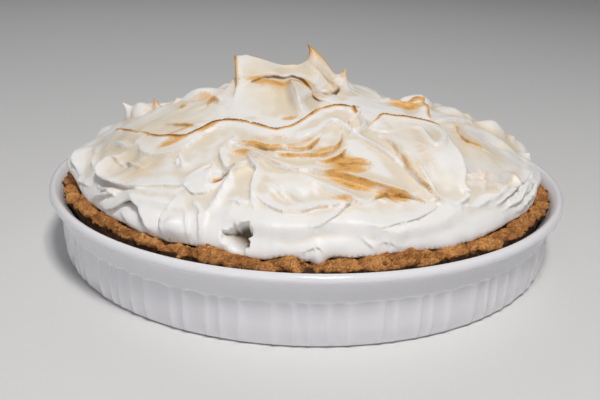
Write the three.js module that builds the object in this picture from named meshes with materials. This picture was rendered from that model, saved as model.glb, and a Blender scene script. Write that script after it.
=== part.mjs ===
// Lemon meringue pie in its own fluted baking dish: three solids in millimetres, +Z up.
// The origin is the centre of the dish's underside, and -Y is the front of the pie.
import * as THREE from "three";

const TAU = 2 * Math.PI;

// Dish: a shallow fluted flan dish with a rolled rim.
const RIM_R = 134; // outermost radius of the rim bead
const RIM_BEAD = 2.3; // radius of the bead
const RIM_BEAD_Z = 33.9;
const FOOT_IN = 116; // the flat foot ring runs from here
const FOOT_OUT = 124; // to here
const UNDER_RECESS = 1.2;
const HEEL_R = 126.9;
const HEEL_Z = 2.6;
const FLUTE_TOP_Z = 22.4;
const FLUTE_ARCH = 1.8; // height over which a flute's top closes
const BAND_R = 128.4; // smooth band above the flutes
const BAND_TOP_Z = 30.5;
const FLUTE_DEPTH = 1.0;
const FLUTE_WIDTHS = [6.4, 2.6, 5, 2.6, 3.8, 6.6, 3.8, 2.6, 3.8, 3.8]; // degrees, one repeat
const FLUTE_REPEATS = 9;
const FLUTE_START = -121.4; // degrees, where the first flute of a repeat begins
const FLOOR_Z = 5.2;
const DISH_STEPS = 90; // segments round the plain rings

// Crust: the crumb shell's top edge shows as a ring between the rim and the meringue.
const CRUST_EDGE_R = 126;
const CRUST_EDGE_Z = 34.3;
const CRUST_CREST_R = 120.8;
const CRUST_CREST_Z = 38;
const CRUST_BED_Z = 35.1; // flat top that the meringue lies on
const CRUST_STEPS = 160;
const CRUST_GAP = 0.45; // to the dish
// Places where the crest stands up, sinks or is broken: angle, half width in degrees, rise.
const CRUST_MARKS = [
  [-122, 1.2, -1.6],
  [-107, 4, 0.9],
  [-98, 3, -1.0],
  [-93, 2.5, 0.8],
  [-88.5, 1.6, -2.4],
  [-80, 4, -0.7],
  [-69, 4, 0.9],
  [-55, 8, -0.5],
  [-22, 1.5, -1.6],
];

// Meringue: a dome of this profile, which the folds below are raised on.
const DOME_R = 121;
const DOME_BASE_Z = 38;
const DOME_RISE = 42;
const DOME_POWER = 1.24;
const FOOT_TUCK = 2.8; // how far the wall draws in at its foot
const FOOT_TUCK_Z = 44; // height where it starts
const MERINGUE_UNDER_Z = 35.5;
const MERINGUE_UNDER_R = 116.4;
const DOME_RINGS = 33;
const PROFILE_STEPS = 400;
const FOOT_FADE = 9; // the folds die out over this length above the foot

// The folds, peaks and hollows lie on the dome's map: a point's distance from the middle is
// its length down the dome's surface from the top, and its direction is the direction seen from above.
// A fold is a crest line through [x, y, height] points. Its gentle side, `back`, lies left of
// the line and its steep side, `front`, right of it. `lean` throws the crest over its front.
const fold = (line, back, front, more = {}) => ({ line, back, front, lean: 0, dip: 0, round: 0, ...more });

const CENTRE_FOLDS = [
  // the high wave in the middle, its overhanging cap and the buttress below it
  fold([[-45, 4, 1], [-40, 1, 16], [-33, 0, 18], [-24, 1, 14], [-14, 2, 12], [-4, 2, 12],
    [6, 1, 12], [14, -1, 10], [20, -4, 3]], 38, 48, { round: 0.5 }),
  fold([[-27, -4, 0], [-20, -5, 3.5], [-12, -6, 4.5], [-6, -8, 4.5], [1, -13, 3], [5, -18, 0]],
    9, 3.5, { lean: 2.5, dip: 1.5 }),
  fold([[-10, -10, 0.5], [-9, -22, 3], [-7, -34, 3.5], [-4, -45, 1]], 10, 10),
  fold([[-40, 4, 3], [-41, -6, 3], [-42, -16, 1]], 9, 4),
];

const RIBBON_FOLDS = [
  // the ribbon that runs below the wave, its hook and its long tail to the left
  fold([[24, -30, 2.5], [17, -26, 3], [8, -32, 3], [0, -42, 2.5], [-8, -53, 2], [-16, -56, 2],
    [-26, -50, 2.5], [-36, -44, 2.5], [-44, -44, 2.5], [-51, -49, 2.5], [-58, -54, 2]],
    13, 4, { dip: 0.8 }),
  fold([[-56, -54, 1.5], [-66, -50, 2], [-73, -46, 2], [-81, -38, 2], [-93, -25, 1.5], [-102, -12, 1]],
    12, 4, { dip: 0.8 }),
  fold([[20, -30, 1], [25, -32, 3], [27, -42, 3], [25, -50, 2.5], [21, -54, 1]], 5, 5),
  fold([[0, -61, 1], [6, -54, 2], [13, -46, 2.5], [18, -51, 2], [24, -58, 1]], 8, 4),
  fold([[-36, -64, 1.5], [-39, -71, 2.5], [-38, -79, 2.5], [-35, -86, 2], [-28, -83, 0.5]], 8, 4),
  // ripples of the swirl
  fold([[-36, -66, 0.5], [-24, -68, 1.4], [-8, -71, 1.4], [0, -67, 1.2], [6, -60, 0.5]], 4, 4),
  fold([[-17, -78, 0.5], [-8, -79, 1.4], [8, -77, 1.6], [14, -71, 1.4], [16, -58, 0.5]], 4, 4),
  fold([[-36, -74, 0.5], [-29, -74, 2], [-19, -81, 2], [-8, -87, 2], [4, -89, 2.2], [19, -91, 2.5],
    [34, -94, 3], [41, -96, 3], [48, -96, 0.5]], 9, 5),
  fold([[-2, -92, 0.5], [7, -98, 1.5], [15, -102, 2], [28, -106, 0.5]], 6, 5),
];

const FRONT_FOLDS = [
  // lips along the top of the front wall
  fold([[-36, -113, 0.5], [-23, -119, 3], [-14, -121, 3.5], [4, -120, 3.5], [20, -117, 2.5],
    [34, -118, 3.5], [50, -113, 3.5], [64, -103, 2.5], [72, -95, 0.5]], 12, 5, { lean: 1 }),
  fold([[-23, -103, 0.5], [-14, -111, 2.5], [-1, -113, 3], [9, -110, 3], [18, -108, 2]], 10, 4),
  fold([[6, -120, 0.5], [12, -116, 2], [16, -111, 2.5], [19, -107, 1.5]], 8, 4),
  fold([[27, -117, 0.5], [41, -113, 2], [50, -108, 2], [57, -101, 1]], 7, 4),
  // pointed lobe left of the middle
  fold([[-26, -80, 3], [-31, -84, 2.5], [-37, -98, 2], [-43, -109, 1.5], [-47, -113, 0.5]], 6, 6),
  fold([[-26, -80, 3], [-22, -87, 2.5], [-24, -101, 2], [-23, -108, 1]], 5, 5),
];

const LEFT_FOLDS = [
  fold([[-96, -49, 1], [-103, -50, 3], [-105, -57, 4], [-101, -65, 4], [-96, -71, 3.5],
    [-89, -77, 2.5], [-80, -84, 1.5], [-63, -90, 1], [-54, -93, 0.5]], 10, 4, { lean: 1.5, dip: 0.8 }),
  fold([[-84, -48, 1], [-77, -61, 2], [-65, -67, 2], [-58, -65, 2], [-50, -56, 1]], 11, 4),
  fold([[-101, -85, 1], [-92, -90, 2.5], [-83, -91, 3.5], [-78, -96, 3.5], [-75, -103, 3.5],
    [-73, -111, 2]], 15, 4, { lean: 1.5, dip: 1.5 }),
  fold([[-62, -102, 1], [-65, -108, 2.5], [-65, -113, 2.5], [-66, -118, 1]], 12, 4),
  fold([[-49, -104, 0.5], [-46, -111, 1.8], [-46, -118, 1.8], [-48, -124, 0.5]], 5, 5),
  fold([[-107, -75, 1], [-100, -78, 2.5], [-93, -81, 1]], 6, 4),
];

const RIGHT_FOLDS = [
  // the big smooth lobe, the leaf on it and the diagonal ridge in front
  fold([[68, -31, 0.5], [60, -30, 2.5], [50, -29, 3], [43, -30, 3], [36, -33, 2.5], [30, -46, 0.5]],
    18, 4, { dip: 1 }),
  fold([[22, -57, 0.5], [28, -63, 1.4], [37, -72, 1.4], [43, -79, 0.5]], 7, 4),
  fold([[42, -68, 0.5], [45, -74, 2], [49, -82, 2.5], [55, -89, 2], [59, -96, 0.5]], 5, 5),
  // folds at the right edge
  fold([[67, -24, 1], [75, -24, 3], [78, -31, 3], [85, -36, 3], [94, -35, 1]], 9, 4, { lean: 1 }),
  fold([[103, -61, 1], [107, -55, 2], [103, -51, 2.5], [97, -55, 2.5], [91, -61, 2.5],
    [83, -66, 2], [74, -71, 0.5]], 9, 4),
  fold([[99, -66, 0.5], [90, -69, 1.6], [83, -72, 1.6], [74, -77, 0.5]], 7, 4),
  fold([[89, -84, 0.5], [96, -75, 2], [105, -60, 2.5], [114, -44, 2.5], [119, -28, 2], [122, -12, 0.5]], 6, 4),
  fold([[101, -76, 0.5], [110, -62, 2], [118, -46, 2.5], [122, -30, 2], [124, -15, 0.5]], 6, 4),
];

// Standing points of meringue: place on the map, radius of the base, height, throw of the tip.
const PEAKS = [
  { at: [6, 2], base: 13, height: 12, tip: [-8, 1] },
  { at: [19, -3], base: 6, height: 9, tip: [1, 0] },
  { at: [-97, 4], base: 6, height: 6, tip: [-1, 0] },
  { at: [-81, 2], base: 4.5, height: 5, tip: [0, 0] },
  { at: [34, -102], base: 5, height: 2.5, tip: [0, 0] },
];

// Rounded swellings and hollows: place, two half widths, turn in degrees, rise.
const SWELLS = [
  { at: [58, -62], half: [34, 24], turn: -60, rise: 4 },
  { at: [-57, -112], half: [9, 12], turn: 90, rise: 2.5 },
  { at: [-47, -90], half: [11, 9], turn: 20, rise: 2.5 },
  { at: [-5, -98], half: [13, 9], turn: 0, rise: 2 },
  { at: [-8, -107], half: [9, 6], turn: -30, rise: -2.5 },
  { at: [-29, -124], half: [9, 6], turn: 10, rise: -5 },
  { at: [-42, -95], half: [5, 4], turn: 30, rise: -3 },
  { at: [-88, -68], half: [16, 10], turn: 30, rise: -2 },
  { at: [50, 2], half: [15, 9], turn: 20, rise: 5 },
  { at: [78, 0], half: [12, 10], turn: 0, rise: 4.5 },
  { at: [98, 0], half: [11, 10], turn: 0, rise: 4 },
  { at: [115, 8], half: [16, 12], turn: 60, rise: 4 },
  { at: [-92, 6], half: [13, 12], turn: 0, rise: 4 },
  { at: [-57, 2], half: [16, 12], turn: 0, rise: 4.5 },
  { at: [-124, -22], half: [30, 16], turn: 100, rise: 4 },
  { at: [36, 4], half: [12, 12], turn: 0, rise: -3 },
];

// The far side isn't seen: it carries folds of the same kind, drawn from a seeded sequence.
const FAR_FOLDS = 15;
const FAR_SEED = 7;
const FAR_FROM = 22; // degrees, the sector of the far side
const FAR_TO = 158;
const FAR_INNER = 34; // nearest a far fold starts to the middle
const FAR_OUTER = 122;

function random(seed) {
  let state = seed;
  return () => {
    state = (state * 16807) % 2147483647;
    return (state - 1) / 2147483646;
  };
}

function farFolds() {
  const draw = random(FAR_SEED);
  const made = [];
  for (let i = 0; i < FAR_FOLDS; i++) {
    const share = (i + 0.5 + 0.6 * (draw() - 0.5)) / FAR_FOLDS;
    const angle = THREE.MathUtils.degToRad(FAR_FROM + (FAR_TO - FAR_FROM) * share);
    const reach = FAR_INNER + (FAR_OUTER - FAR_INNER) * ((i * 0.618 + 0.3 * draw()) % 1);
    const heading = angle + Math.PI / 2 + 1.1 * (draw() - 0.5);
    const length = 26 + 26 * draw();
    const bend = 1.2 * (draw() - 0.5);
    const height = 2.2 + 1.8 * draw();
    const line = [-0.5, -0.2, 0.2, 0.5].map((t) => {
      const turned = heading + bend * t;
      return [
        reach * Math.cos(angle) + length * t * Math.cos(turned),
        reach * Math.sin(angle) + length * t * Math.sin(turned),
        height * (1 - 3 * t * t),
      ];
    });
    made.push(fold(line, 10 + 5 * draw(), 4, { lean: 0.8, dip: 0.5 }));
  }
  return made;
}

const FOLDS = [
  ...CENTRE_FOLDS,
  ...RIBBON_FOLDS,
  ...FRONT_FOLDS,
  ...LEFT_FOLDS,
  ...RIGHT_FOLDS,
  ...farFolds(),
].map((made) => {
  const points = made.line.map((p) => new THREE.Vector3(...p));
  const steps = 5 * (points.length - 1);
  const crest = new THREE.CatmullRomCurve3(points, false, "catmullrom").getPoints(steps);
  const highest = Math.max(...made.line.map((p) => p[2]));
  return { ...made, crest, highest };
});

const clamp = THREE.MathUtils.clamp;
const smooth = (x) => {
  const t = clamp(x, 0, 1);
  return t * t * (3 - 2 * t);
};

// Nearest place on a crest line: distance, side (+1 left), height there and the left normal.
function nearest(crest, x, y) {
  let best = { distance: Infinity };
  for (let i = 0; i + 1 < crest.length; i++) {
    const a = crest[i];
    const b = crest[i + 1];
    const dx = b.x - a.x;
    const dy = b.y - a.y;
    const length = Math.hypot(dx, dy) || 1e-9;
    const t = clamp(((x - a.x) * dx + (y - a.y) * dy) / (length * length), 0, 1);
    const px = a.x + t * dx;
    const py = a.y + t * dy;
    const distance = Math.hypot(x - px, y - py);
    if (distance < best.distance) {
      const side = dx * (y - a.y) - dy * (x - a.x) >= 0 ? 1 : -1;
      best = { distance, side, height: a.z + t * (b.z - a.z), px, py, nx: -dy / length, ny: dx / length };
    }
  }
  return best;
}

const flank = (x, round) => (1 - round) * (1 - x) ** 2 + round * (1 - x * x) ** 2;

// Rise of the meringue over the dome at a map point, and how far the skin is thrown sideways.
function relief(x, y) {
  let rise = 0;
  let throwX = 0;
  let throwY = 0;
  for (const made of FOLDS) {
    const near = nearest(made.crest, x, y);
    const reach = near.side > 0 ? made.back : made.front;
    const share = near.distance / reach;
    if (share < 1) {
      const form = flank(share, made.round);
      rise += near.height * form;
      const lean = (made.lean * near.height * form) / made.highest;
      throwX -= near.nx * lean;
      throwY -= near.ny * lean;
    }
    if (near.side < 0 && made.dip > 0) {
      const off = (near.distance - made.front) / made.front;
      rise -= made.dip * (near.height / made.highest) * Math.exp(-off * off);
    }
  }
  for (const peak of PEAKS) {
    const share = Math.hypot(x - peak.at[0], y - peak.at[1]) / peak.base;
    if (share < 1) {
      const form = (1 - share) ** 1.6;
      rise += peak.height * form;
      throwX += peak.tip[0] * form;
      throwY += peak.tip[1] * form;
    }
  }
  for (const swell of SWELLS) {
    const turn = THREE.MathUtils.degToRad(swell.turn);
    const dx = x - swell.at[0];
    const dy = y - swell.at[1];
    const u = (dx * Math.cos(turn) + dy * Math.sin(turn)) / swell.half[0];
    const v = (dy * Math.cos(turn) - dx * Math.sin(turn)) / swell.half[1];
    const share = u * u + v * v;
    if (share < 1) rise += swell.rise * (1 - share) ** 2;
  }
  return { rise, throwX, throwY };
}

// The dome's profile as points with their length from the top.
function domeProfile() {
  const points = [];
  let length = 0;
  for (let i = 0; i <= PROFILE_STEPS; i++) {
    const lean = (Math.PI / 2) * (i / PROFILE_STEPS);
    const z = DOME_BASE_Z + DOME_RISE * Math.max(Math.cos(lean), 0) ** DOME_POWER;
    const tuck = FOOT_TUCK * clamp((FOOT_TUCK_Z - z) / (FOOT_TUCK_Z - DOME_BASE_Z), 0, 1) ** 2;
    const r = DOME_R * Math.sin(lean) - tuck;
    const last = points.at(-1);
    if (last) length += Math.hypot(r - last.r, z - last.z);
    points.push({ r, z, length });
  }
  return points;
}

const PROFILE = domeProfile();
const MAP_R = PROFILE.at(-1).length;

function profileAt(length) {
  const after = Math.max(1, PROFILE.findIndex((p) => p.length >= length - 1e-9));
  const a = PROFILE[after - 1];
  const b = PROFILE[after];
  const step = b.length - a.length;
  const t = clamp((length - a.length) / step, 0, 1);
  return {
    r: a.r + t * (b.r - a.r),
    z: a.z + t * (b.z - a.z),
    alongR: (b.r - a.r) / step,
    alongZ: (b.z - a.z) / step,
  };
}

// A map point on the meringue's skin, as a point in space.
function skinPoint(x, y) {
  const length = Math.hypot(x, y);
  const angle = Math.atan2(y, x);
  const { r, z, alongR, alongZ } = profileAt(length);
  const fade = smooth((MAP_R - length) / FOOT_FADE);
  const { rise, throwX, throwY } = relief(x, y);
  const outward = (throwX * Math.cos(angle) + throwY * Math.sin(angle)) * fade;
  const around = (throwY * Math.cos(angle) - throwX * Math.sin(angle)) * fade;
  const radius = r - alongZ * rise * fade + alongR * outward;
  const height = z + alongR * rise * fade + alongZ * outward;
  return [
    radius * Math.cos(angle) - around * Math.sin(angle),
    radius * Math.sin(angle) + around * Math.cos(angle),
    height,
  ];
}

// Draws a map point towards a tip, or onto a crest line, that is close by, so that points
// and ridges stay crisp. Shares are of the distance between neighbouring points.
const CREST_CATCH = 0.3;
const CREST_RELEASE = 0.9;
const CRISP_HEIGHT = 2; // lower crests are left as they fall
function drawnToCrest(x, y, spacing) {
  for (const peak of PEAKS) {
    const share = Math.hypot(x - peak.at[0], y - peak.at[1]) / spacing;
    if (share < 1) return peak.at.map((at, axis) => at + share * ([x, y][axis] - at));
  }
  let best = null;
  for (const made of FOLDS) {
    if (made.highest < CRISP_HEIGHT) continue;
    const near = nearest(made.crest, x, y);
    if (!best || near.distance < best.distance) best = near;
  }
  const share = best.distance / spacing;
  if (share >= CREST_RELEASE || share < 1e-6) return [x, y];
  const kept = Math.max(0, (share - CREST_CATCH) * (CREST_RELEASE / (CREST_RELEASE - CREST_CATCH))) / share;
  return [best.px + kept * (x - best.px), best.py + kept * (y - best.py)];
}

// A closed solid from rings that run from one pole to the other, each ring turning
// counter-clockwise seen from above; the rings may differ in their number of points.
function ringSolid(rings) {
  const positions = [];
  const starts = rings.map((ring) => {
    const start = positions.length / 3;
    positions.push(...ring.flat());
    return start;
  });
  const faces = [];
  for (let k = 0; k + 1 < rings.length; k++) {
    const low = rings[k].length;
    const high = rings[k + 1].length;
    let i = 0;
    let j = 0;
    while (i < low || j < high) {
      const a = starts[k] + (i % low);
      const b = starts[k + 1] + (j % high);
      const stepLow = high === 1 || j >= high || (i < low && low > 1 && (i + 1) * high <= (j + 1) * low);
      if (stepLow && low > 1 && i < low) {
        faces.push(a, starts[k] + ((i + 1) % low), b);
        i++;
      } else if (high > 1 && j < high) {
        faces.push(a, starts[k + 1] + ((j + 1) % high), b);
        j++;
      } else {
        break;
      }
    }
  }
  const geometry = new THREE.BufferGeometry();
  geometry.setAttribute("position", new THREE.Float32BufferAttribute(positions, 3));
  geometry.setIndex(faces);
  geometry.computeVertexNormals();
  return geometry;
}

const circle = (r, z, steps) =>
  Array.from({ length: steps }, (_, i) => {
    const angle = (TAU * i) / steps;
    return [r * Math.cos(angle), r * Math.sin(angle), z];
  });

// Angles of the flutes' ridges and hollows round the dish, in turn.
function fluteAngles() {
  const total = FLUTE_WIDTHS.reduce((sum, w) => sum + w, 0);
  const repeat = 360 / FLUTE_REPEATS;
  const places = [];
  for (let k = 0; k < FLUTE_REPEATS; k++) {
    let at = FLUTE_START + k * repeat;
    for (const width of FLUTE_WIDTHS) {
      const wide = (width * repeat) / total;
      places.push({ angle: at, depth: 0 }, { angle: at + wide / 2, depth: 1 });
      at += wide;
    }
  }
  return places
    .map((p) => ({ ...p, angle: ((p.angle % 360) + 360) % 360 }))
    .sort((a, b) => a.angle - b.angle);
}

function flutedRing(r, z, depth) {
  return fluteAngles().map((place) => {
    const angle = THREE.MathUtils.degToRad(place.angle);
    const radius = r - depth * place.depth;
    return [radius * Math.cos(angle), radius * Math.sin(angle), z];
  });
}

function dishGeometry() {
  const plain = (r, z) => circle(r, z, DISH_STEPS);
  const beadR = RIM_R - RIM_BEAD;
  const bead = [-75, -35, 5, 45, 85, 125].map((degrees) => {
    const turn = THREE.MathUtils.degToRad(degrees);
    return plain(beadR + RIM_BEAD * Math.cos(turn), RIM_BEAD_Z + RIM_BEAD * Math.sin(turn));
  });
  return ringSolid([
    [[0, 0, UNDER_RECESS]],
    circle(FOOT_IN - 1, UNDER_RECESS, DISH_STEPS / 3),
    plain(FOOT_IN, 0),
    plain(FOOT_OUT, 0),
    flutedRing(HEEL_R, HEEL_Z, FLUTE_DEPTH),
    flutedRing(BAND_R - 0.2, FLUTE_TOP_Z - FLUTE_ARCH, FLUTE_DEPTH),
    flutedRing(BAND_R, FLUTE_TOP_Z, 0),
    plain(BAND_R + 0.2, BAND_TOP_Z),
    ...bead,
    plain(127, 32),
    plain(124.6, 28),
    plain(123.8, 24),
    plain(122.8, 9),
    plain(119, FLOOR_Z),
    circle(60, FLOOR_Z, DISH_STEPS / 3),
    [[0, 0, FLOOR_Z]],
  ]);
}

// Crumbly unevenness of the crust round the pie: three beats of different length.
const crumble = (angle, phase) =>
  0.45 * Math.sin(23 * angle + phase) + 0.3 * Math.sin(41 * angle + 2.3 * phase) +
  0.25 * Math.sin(67 * angle + 4.1 * phase);

function crustMark(angle) {
  const degrees = THREE.MathUtils.radToDeg(angle);
  return CRUST_MARKS.reduce((sum, [at, half, rise]) => {
    const off = ((degrees - at + 540) % 360) - 180;
    return sum + rise * Math.exp(-((off / half) ** 2));
  }, 0);
}

function crustRing(r, z, steps, rough, marked) {
  return circle(r, z, steps).map(([x, y, height], i) => {
    const angle = (TAU * i) / steps;
    const swell = 1 + (rough * crumble(angle, r)) / r;
    const lift = 0.8 * rough * crumble(angle, 3 * z) + marked * crustMark(angle);
    return [x * swell, y * swell, height + lift];
  });
}

function crustGeometry() {
  const walls = [
    [118.6, FLOOR_Z + CRUST_GAP],
    [122.2, 9.2],
    [123.3, 24],
    [124.1, 28.2],
    [125.6, 31.6],
  ].map(([r, z]) => circle(r, z, DISH_STEPS));
  return ringSolid([
    [[0, 0, FLOOR_Z + CRUST_GAP]],
    circle(60, FLOOR_Z + CRUST_GAP, DISH_STEPS / 3),
    ...walls,
    crustRing(CRUST_EDGE_R, CRUST_EDGE_Z, CRUST_STEPS, 0.9, 0.2),
    crustRing(CRUST_EDGE_R - 2, CRUST_EDGE_Z + 2.1, CRUST_STEPS, 0.8, 0.5),
    crustRing(CRUST_CREST_R, CRUST_CREST_Z, CRUST_STEPS, 0.6, 0.7),
    circle(118.9, CRUST_BED_Z + 0.9, DISH_STEPS),
    circle(117.4, CRUST_BED_Z, DISH_STEPS),
    circle(60, CRUST_BED_Z, DISH_STEPS / 3),
    [[0, 0, CRUST_BED_Z]],
  ]);
}

function meringueGeometry() {
  const spacing = MAP_R / DOME_RINGS;
  const skin = [];
  for (let k = DOME_RINGS; k >= 1; k--) {
    const steps = 6 * k;
    const length = k * spacing;
    skin.push(
      circle(length, 0, steps).map(([x, y]) => {
        const [drawnX, drawnY] = k < DOME_RINGS - 1 ? drawnToCrest(x, y, spacing) : [x, y];
        return skinPoint(drawnX, drawnY);
      }),
    );
  }
  return ringSolid([
    [[0, 0, MERINGUE_UNDER_Z]],
    circle(60, MERINGUE_UNDER_Z, DISH_STEPS / 3),
    circle(MERINGUE_UNDER_R, MERINGUE_UNDER_Z, DISH_STEPS),
    ...skin,
    [skinPoint(0, 0)],
  ]);
}

const dishGlaze = () => new THREE.MeshStandardMaterial({ color: 0xe6e5e6, roughness: 0.18, metalness: 0 });
const bakedCrumb = () => new THREE.MeshStandardMaterial({ color: 0x94602f, roughness: 0.9, metalness: 0 });
const bakedMeringue = () => new THREE.MeshStandardMaterial({ color: 0xefe6d9, roughness: 0.55, metalness: 0 });

function part(name, geometry, material) {
  const mesh = new THREE.Mesh(geometry, material);
  mesh.name = name;
  return mesh;
}

const pie = new THREE.Group();
pie.add(
  part("dish", dishGeometry(), dishGlaze()),
  part("crust", crustGeometry(), bakedCrumb()),
  part("meringue", meringueGeometry(), bakedMeringue()),
);

export default pie;
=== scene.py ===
"""Lemon meringue pie in its fluted dish: the looks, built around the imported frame.

Blender works in metres; the pie's own measures below are in millimetres and are scaled
once, where a mesh is made. +Z is up and -Y is the front of the pie.
"""
import math

import bpy
import numpy as np
from mathutils import Matrix, Vector, noise


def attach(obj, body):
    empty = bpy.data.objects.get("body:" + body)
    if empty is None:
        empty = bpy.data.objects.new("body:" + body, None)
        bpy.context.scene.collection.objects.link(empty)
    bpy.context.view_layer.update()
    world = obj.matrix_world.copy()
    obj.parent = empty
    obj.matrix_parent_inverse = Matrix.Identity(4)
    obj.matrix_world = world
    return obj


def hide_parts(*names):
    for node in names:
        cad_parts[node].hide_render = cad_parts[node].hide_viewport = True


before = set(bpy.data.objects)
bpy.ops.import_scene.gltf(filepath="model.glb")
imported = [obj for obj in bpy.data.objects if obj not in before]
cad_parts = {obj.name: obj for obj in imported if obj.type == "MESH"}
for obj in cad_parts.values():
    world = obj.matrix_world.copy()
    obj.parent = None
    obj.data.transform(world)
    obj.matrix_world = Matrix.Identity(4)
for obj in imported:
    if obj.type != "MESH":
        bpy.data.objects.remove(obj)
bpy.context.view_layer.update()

MM = 0.001

# Camera, in metres, fitted to the circles of the dish.
CAMERA_PLACE = (0.0, -0.4043, 0.16656)
CAMERA_RIGHT = (0.999543, 0.016822, 0.025108)
CAMERA_UP = (-0.029367, 0.344320, 0.938393)
CAMERA_BACK = (0.007141, -0.938702, 0.344656)
SENSOR_WIDTH = 36.0
IMAGE_WIDTH = 600
FOCAL_PIXELS = 781.2

# Dish, mm.
RIM_R = 134.0
RIM_BEAD = 2.3
RIM_BEAD_Z = 33.9
FOOT_IN = 116.0
FOOT_OUT = 124.0
UNDER_RECESS = 1.2
HEEL_R = 126.9
HEEL_Z = 2.6
FLUTE_TOP_Z = 22.4
FLUTE_ARCH = 2.6
BAND_R = 128.4
BAND_TOP_Z = 30.5
FLUTE_DEPTH = 1.0
FLUTE_WIDTHS = (6.4, 2.6, 5.0, 2.6, 3.8, 6.6, 3.8, 2.6, 3.8, 3.8)
FLUTE_REPEATS = 9
FLUTE_START = -121.4
FLUTE_STEPS = 8
FLOOR_Z = 5.2

# Crust, mm: points round it, then the sizes of its grains, lumps and clumps, of its fine
# noise, of its edge's wander and of its top's heave, then how far each goes.
CRUST_STEPS = 1500
CRUST_GRAIN = 1.0
CRUST_LUMP = 8.0
CRUST_CLUMP = 13.0
CRUST_FINE = 1.1
EDGE_SIZE = 5.0
HEAVE_SIZE = 7.0
LUMP_RISE = 1.1
GRAIN_RISE = 0.16
CLUMP_RISE = 2.2
FINE_RISE = 0.2
EDGE_WANDER = 2.1
TOP_HEAVE = 0.9
# The heights at the middle of its closed underside and top.
CRUST_UNDER_Z = 18.0
CRUST_TOP_Z = 33.0
# Where the shell hangs back from the dish's wall: angle, half width, how far.
CRUST_PULLS = ((-136.0, 17.0, 2.6), (-30.0, 7.0, 1.2))
# Its lip's section, up from beside the wall, over the top and in: radius, height.
CRUST_PROFILE = (
    (122.6, 20.0), (123.5, 26.0), (124.6, 30.0), (125.7, 32.4), (126.3, 33.9), (126.2, 35.3),
    (125.3, 36.4), (123.8, 37.1), (122.2, 37.8), (120.8, 38.2), (119.4, 38.0), (118.0, 37.2),
    (116.0, 35.5), (112.0, 34.5),
)
# Loose crumbs lie on the crust above this height and outside this radius.
CRUMBS_FROM_Z = 32.5
CRUMBS_FROM_R = 119.5
# Places where the crust's top stands up, sinks or is cracked: angle, half width, rise.
CRUST_MARKS = (
    (-122.0, 1.2, -1.8), (-118.5, 0.5, -1.6), (-107.0, 4.0, 1.1), (-98.0, 3.0, -0.5),
    (-93.0, 2.2, 1.0), (-88.5, 1.3, -3.2), (-80.0, 4.0, -0.8), (-69.0, 4.0, 1.0),
    (-55.0, 8.0, -0.5), (-44.0, 0.7, -1.8), (-22.0, 1.0, -2.4), (12.0, 1.0, -1.8),
    (47.0, 0.8, -2.0), (95.0, 1.2, -1.8), (133.0, 0.9, -2.0), (171.0, 1.1, -1.6),
)

# Meringue, mm: the dome, then its foot.
PROFILE_STEPS = 1200
DOME_R = 121.0
DOME_BASE_Z = 38.0
DOME_RISE = 42.0
DOME_POWER = 1.24
FOOT_TUCK = 0.9
FOOT_TUCK_Z = 43.0
FOOT_FADE = 5.0
FOOT_BAND = 6.0
# Where the foot hangs down over the crust or is drawn up: angle, half width, drop.
FOOT_DROOPS = ((-87.2, 1.5, 3.4), (-90.0, 1.2, 1.4), (-73.0, 6.0, -0.8), (-101.0, 5.0, 2.0),
               (-60.0, 9.0, 0.5), (-40.0, 5.0, -0.8), (-120.0, 6.0, 0.6), (-140.0, 5.0, -0.6))
# The skin starts as a disc of rings. It is split to edges no longer than LONGEST_EDGE, finer
# where it bends by more than these angles, and finer where its colour changes.
DOME_RINGS = 52
LONGEST_EDGE = 2.0
SHORTEST_EDGE = 0.42
COLOUR_CHANGE_EDGE = 0.6
COLOUR_CHANGE_STEP = 0.2
BEND_LIMITS = (26.0, 20.0, 15.0, 12.0, 10.0)
MOST_TRIANGLES = 185000
# Under its foot it turns in through two rings, radius and height, and closes at UNDER_Z.
UNDER_RINGS = ((117.0, 36.0), (114.0, 34.5))
UNDER_Z = 34.0
# The smoothings of the skin that its hollows are measured against.
SMOOTHINGS = 24
# The traced folds' heights, front widths and throws are multiplied by these.
RELIEF_GAIN = 1.28
CRISPNESS = 0.65
LEAN_GAIN = 1.5
# Settling the traced lines: rounds, the longest shift and the highest rise that count, mm,
# the least the skin faces the eye, and how many points are evened on each side.
SETTLE_ROUNDS = 8
LONGEST_SHIFT = 16.0
HIGHEST_SHIFT = 9.0
LEAST_FACING = 0.3
EVEN_SPAN = 8
# Painted shade in the creases: its distance in front of the crest and its width, mm.
CREASE_SHADE_OFF = 0.6
CREASE_SHADE_WIDTH = 0.5
# Toasted crests: the widths of the brown behind the crest and in front of it, mm.
TOAST_BACK = 1.0
TOAST_FRONT = 0.8
# Sizes of the noise that breaks up the brown and the painted crease shade, and of a patch's streaks, mm.
TOAST_BREAK = 9.0
CREASE_SHADE_BREAK = 7.0
STREAK_LENGTH = 7.0
STREAK_WIDTH = 1.1
# Unevenness of the foam, mm: the wander of its lines, two sizes of swelling, its foot's ripple.
WANDER = 0.6
WANDER_SIZE = 9.0
SWELL_RISE = 0.7
SWELL_SIZE = 15.0
RIPPLE_RISE = 0.16
RIPPLE_SIZE = 4.5
FOOT_RIPPLE = 0.9
FOOT_RIPPLE_SIZE = 9.0


class Fold:
    """A crest line through (x, y, height) points on the dome's map, in mm.

    The gentle side, back, lies left of the line and the steep side, front, right of it.
    lean throws the crest over its front, dip sinks the crevice there, toast browns the
    crest, and the last number paints shade into the crevice under it.
    """

    def __init__(self, line, back, front, lean=0.0, dip=0.0, round=0.0, toast=0.0, crease_shade=0.0):
        points = np.array(line, float)
        self.back = back
        self.front = front
        self.lean = lean
        self.dip = dip
        self.round = round
        self.toast = toast
        self.crease_shade = crease_shade
        self.highest = points[:, 2].max()
        self.crest = smooth_line(points, 7)


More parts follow.
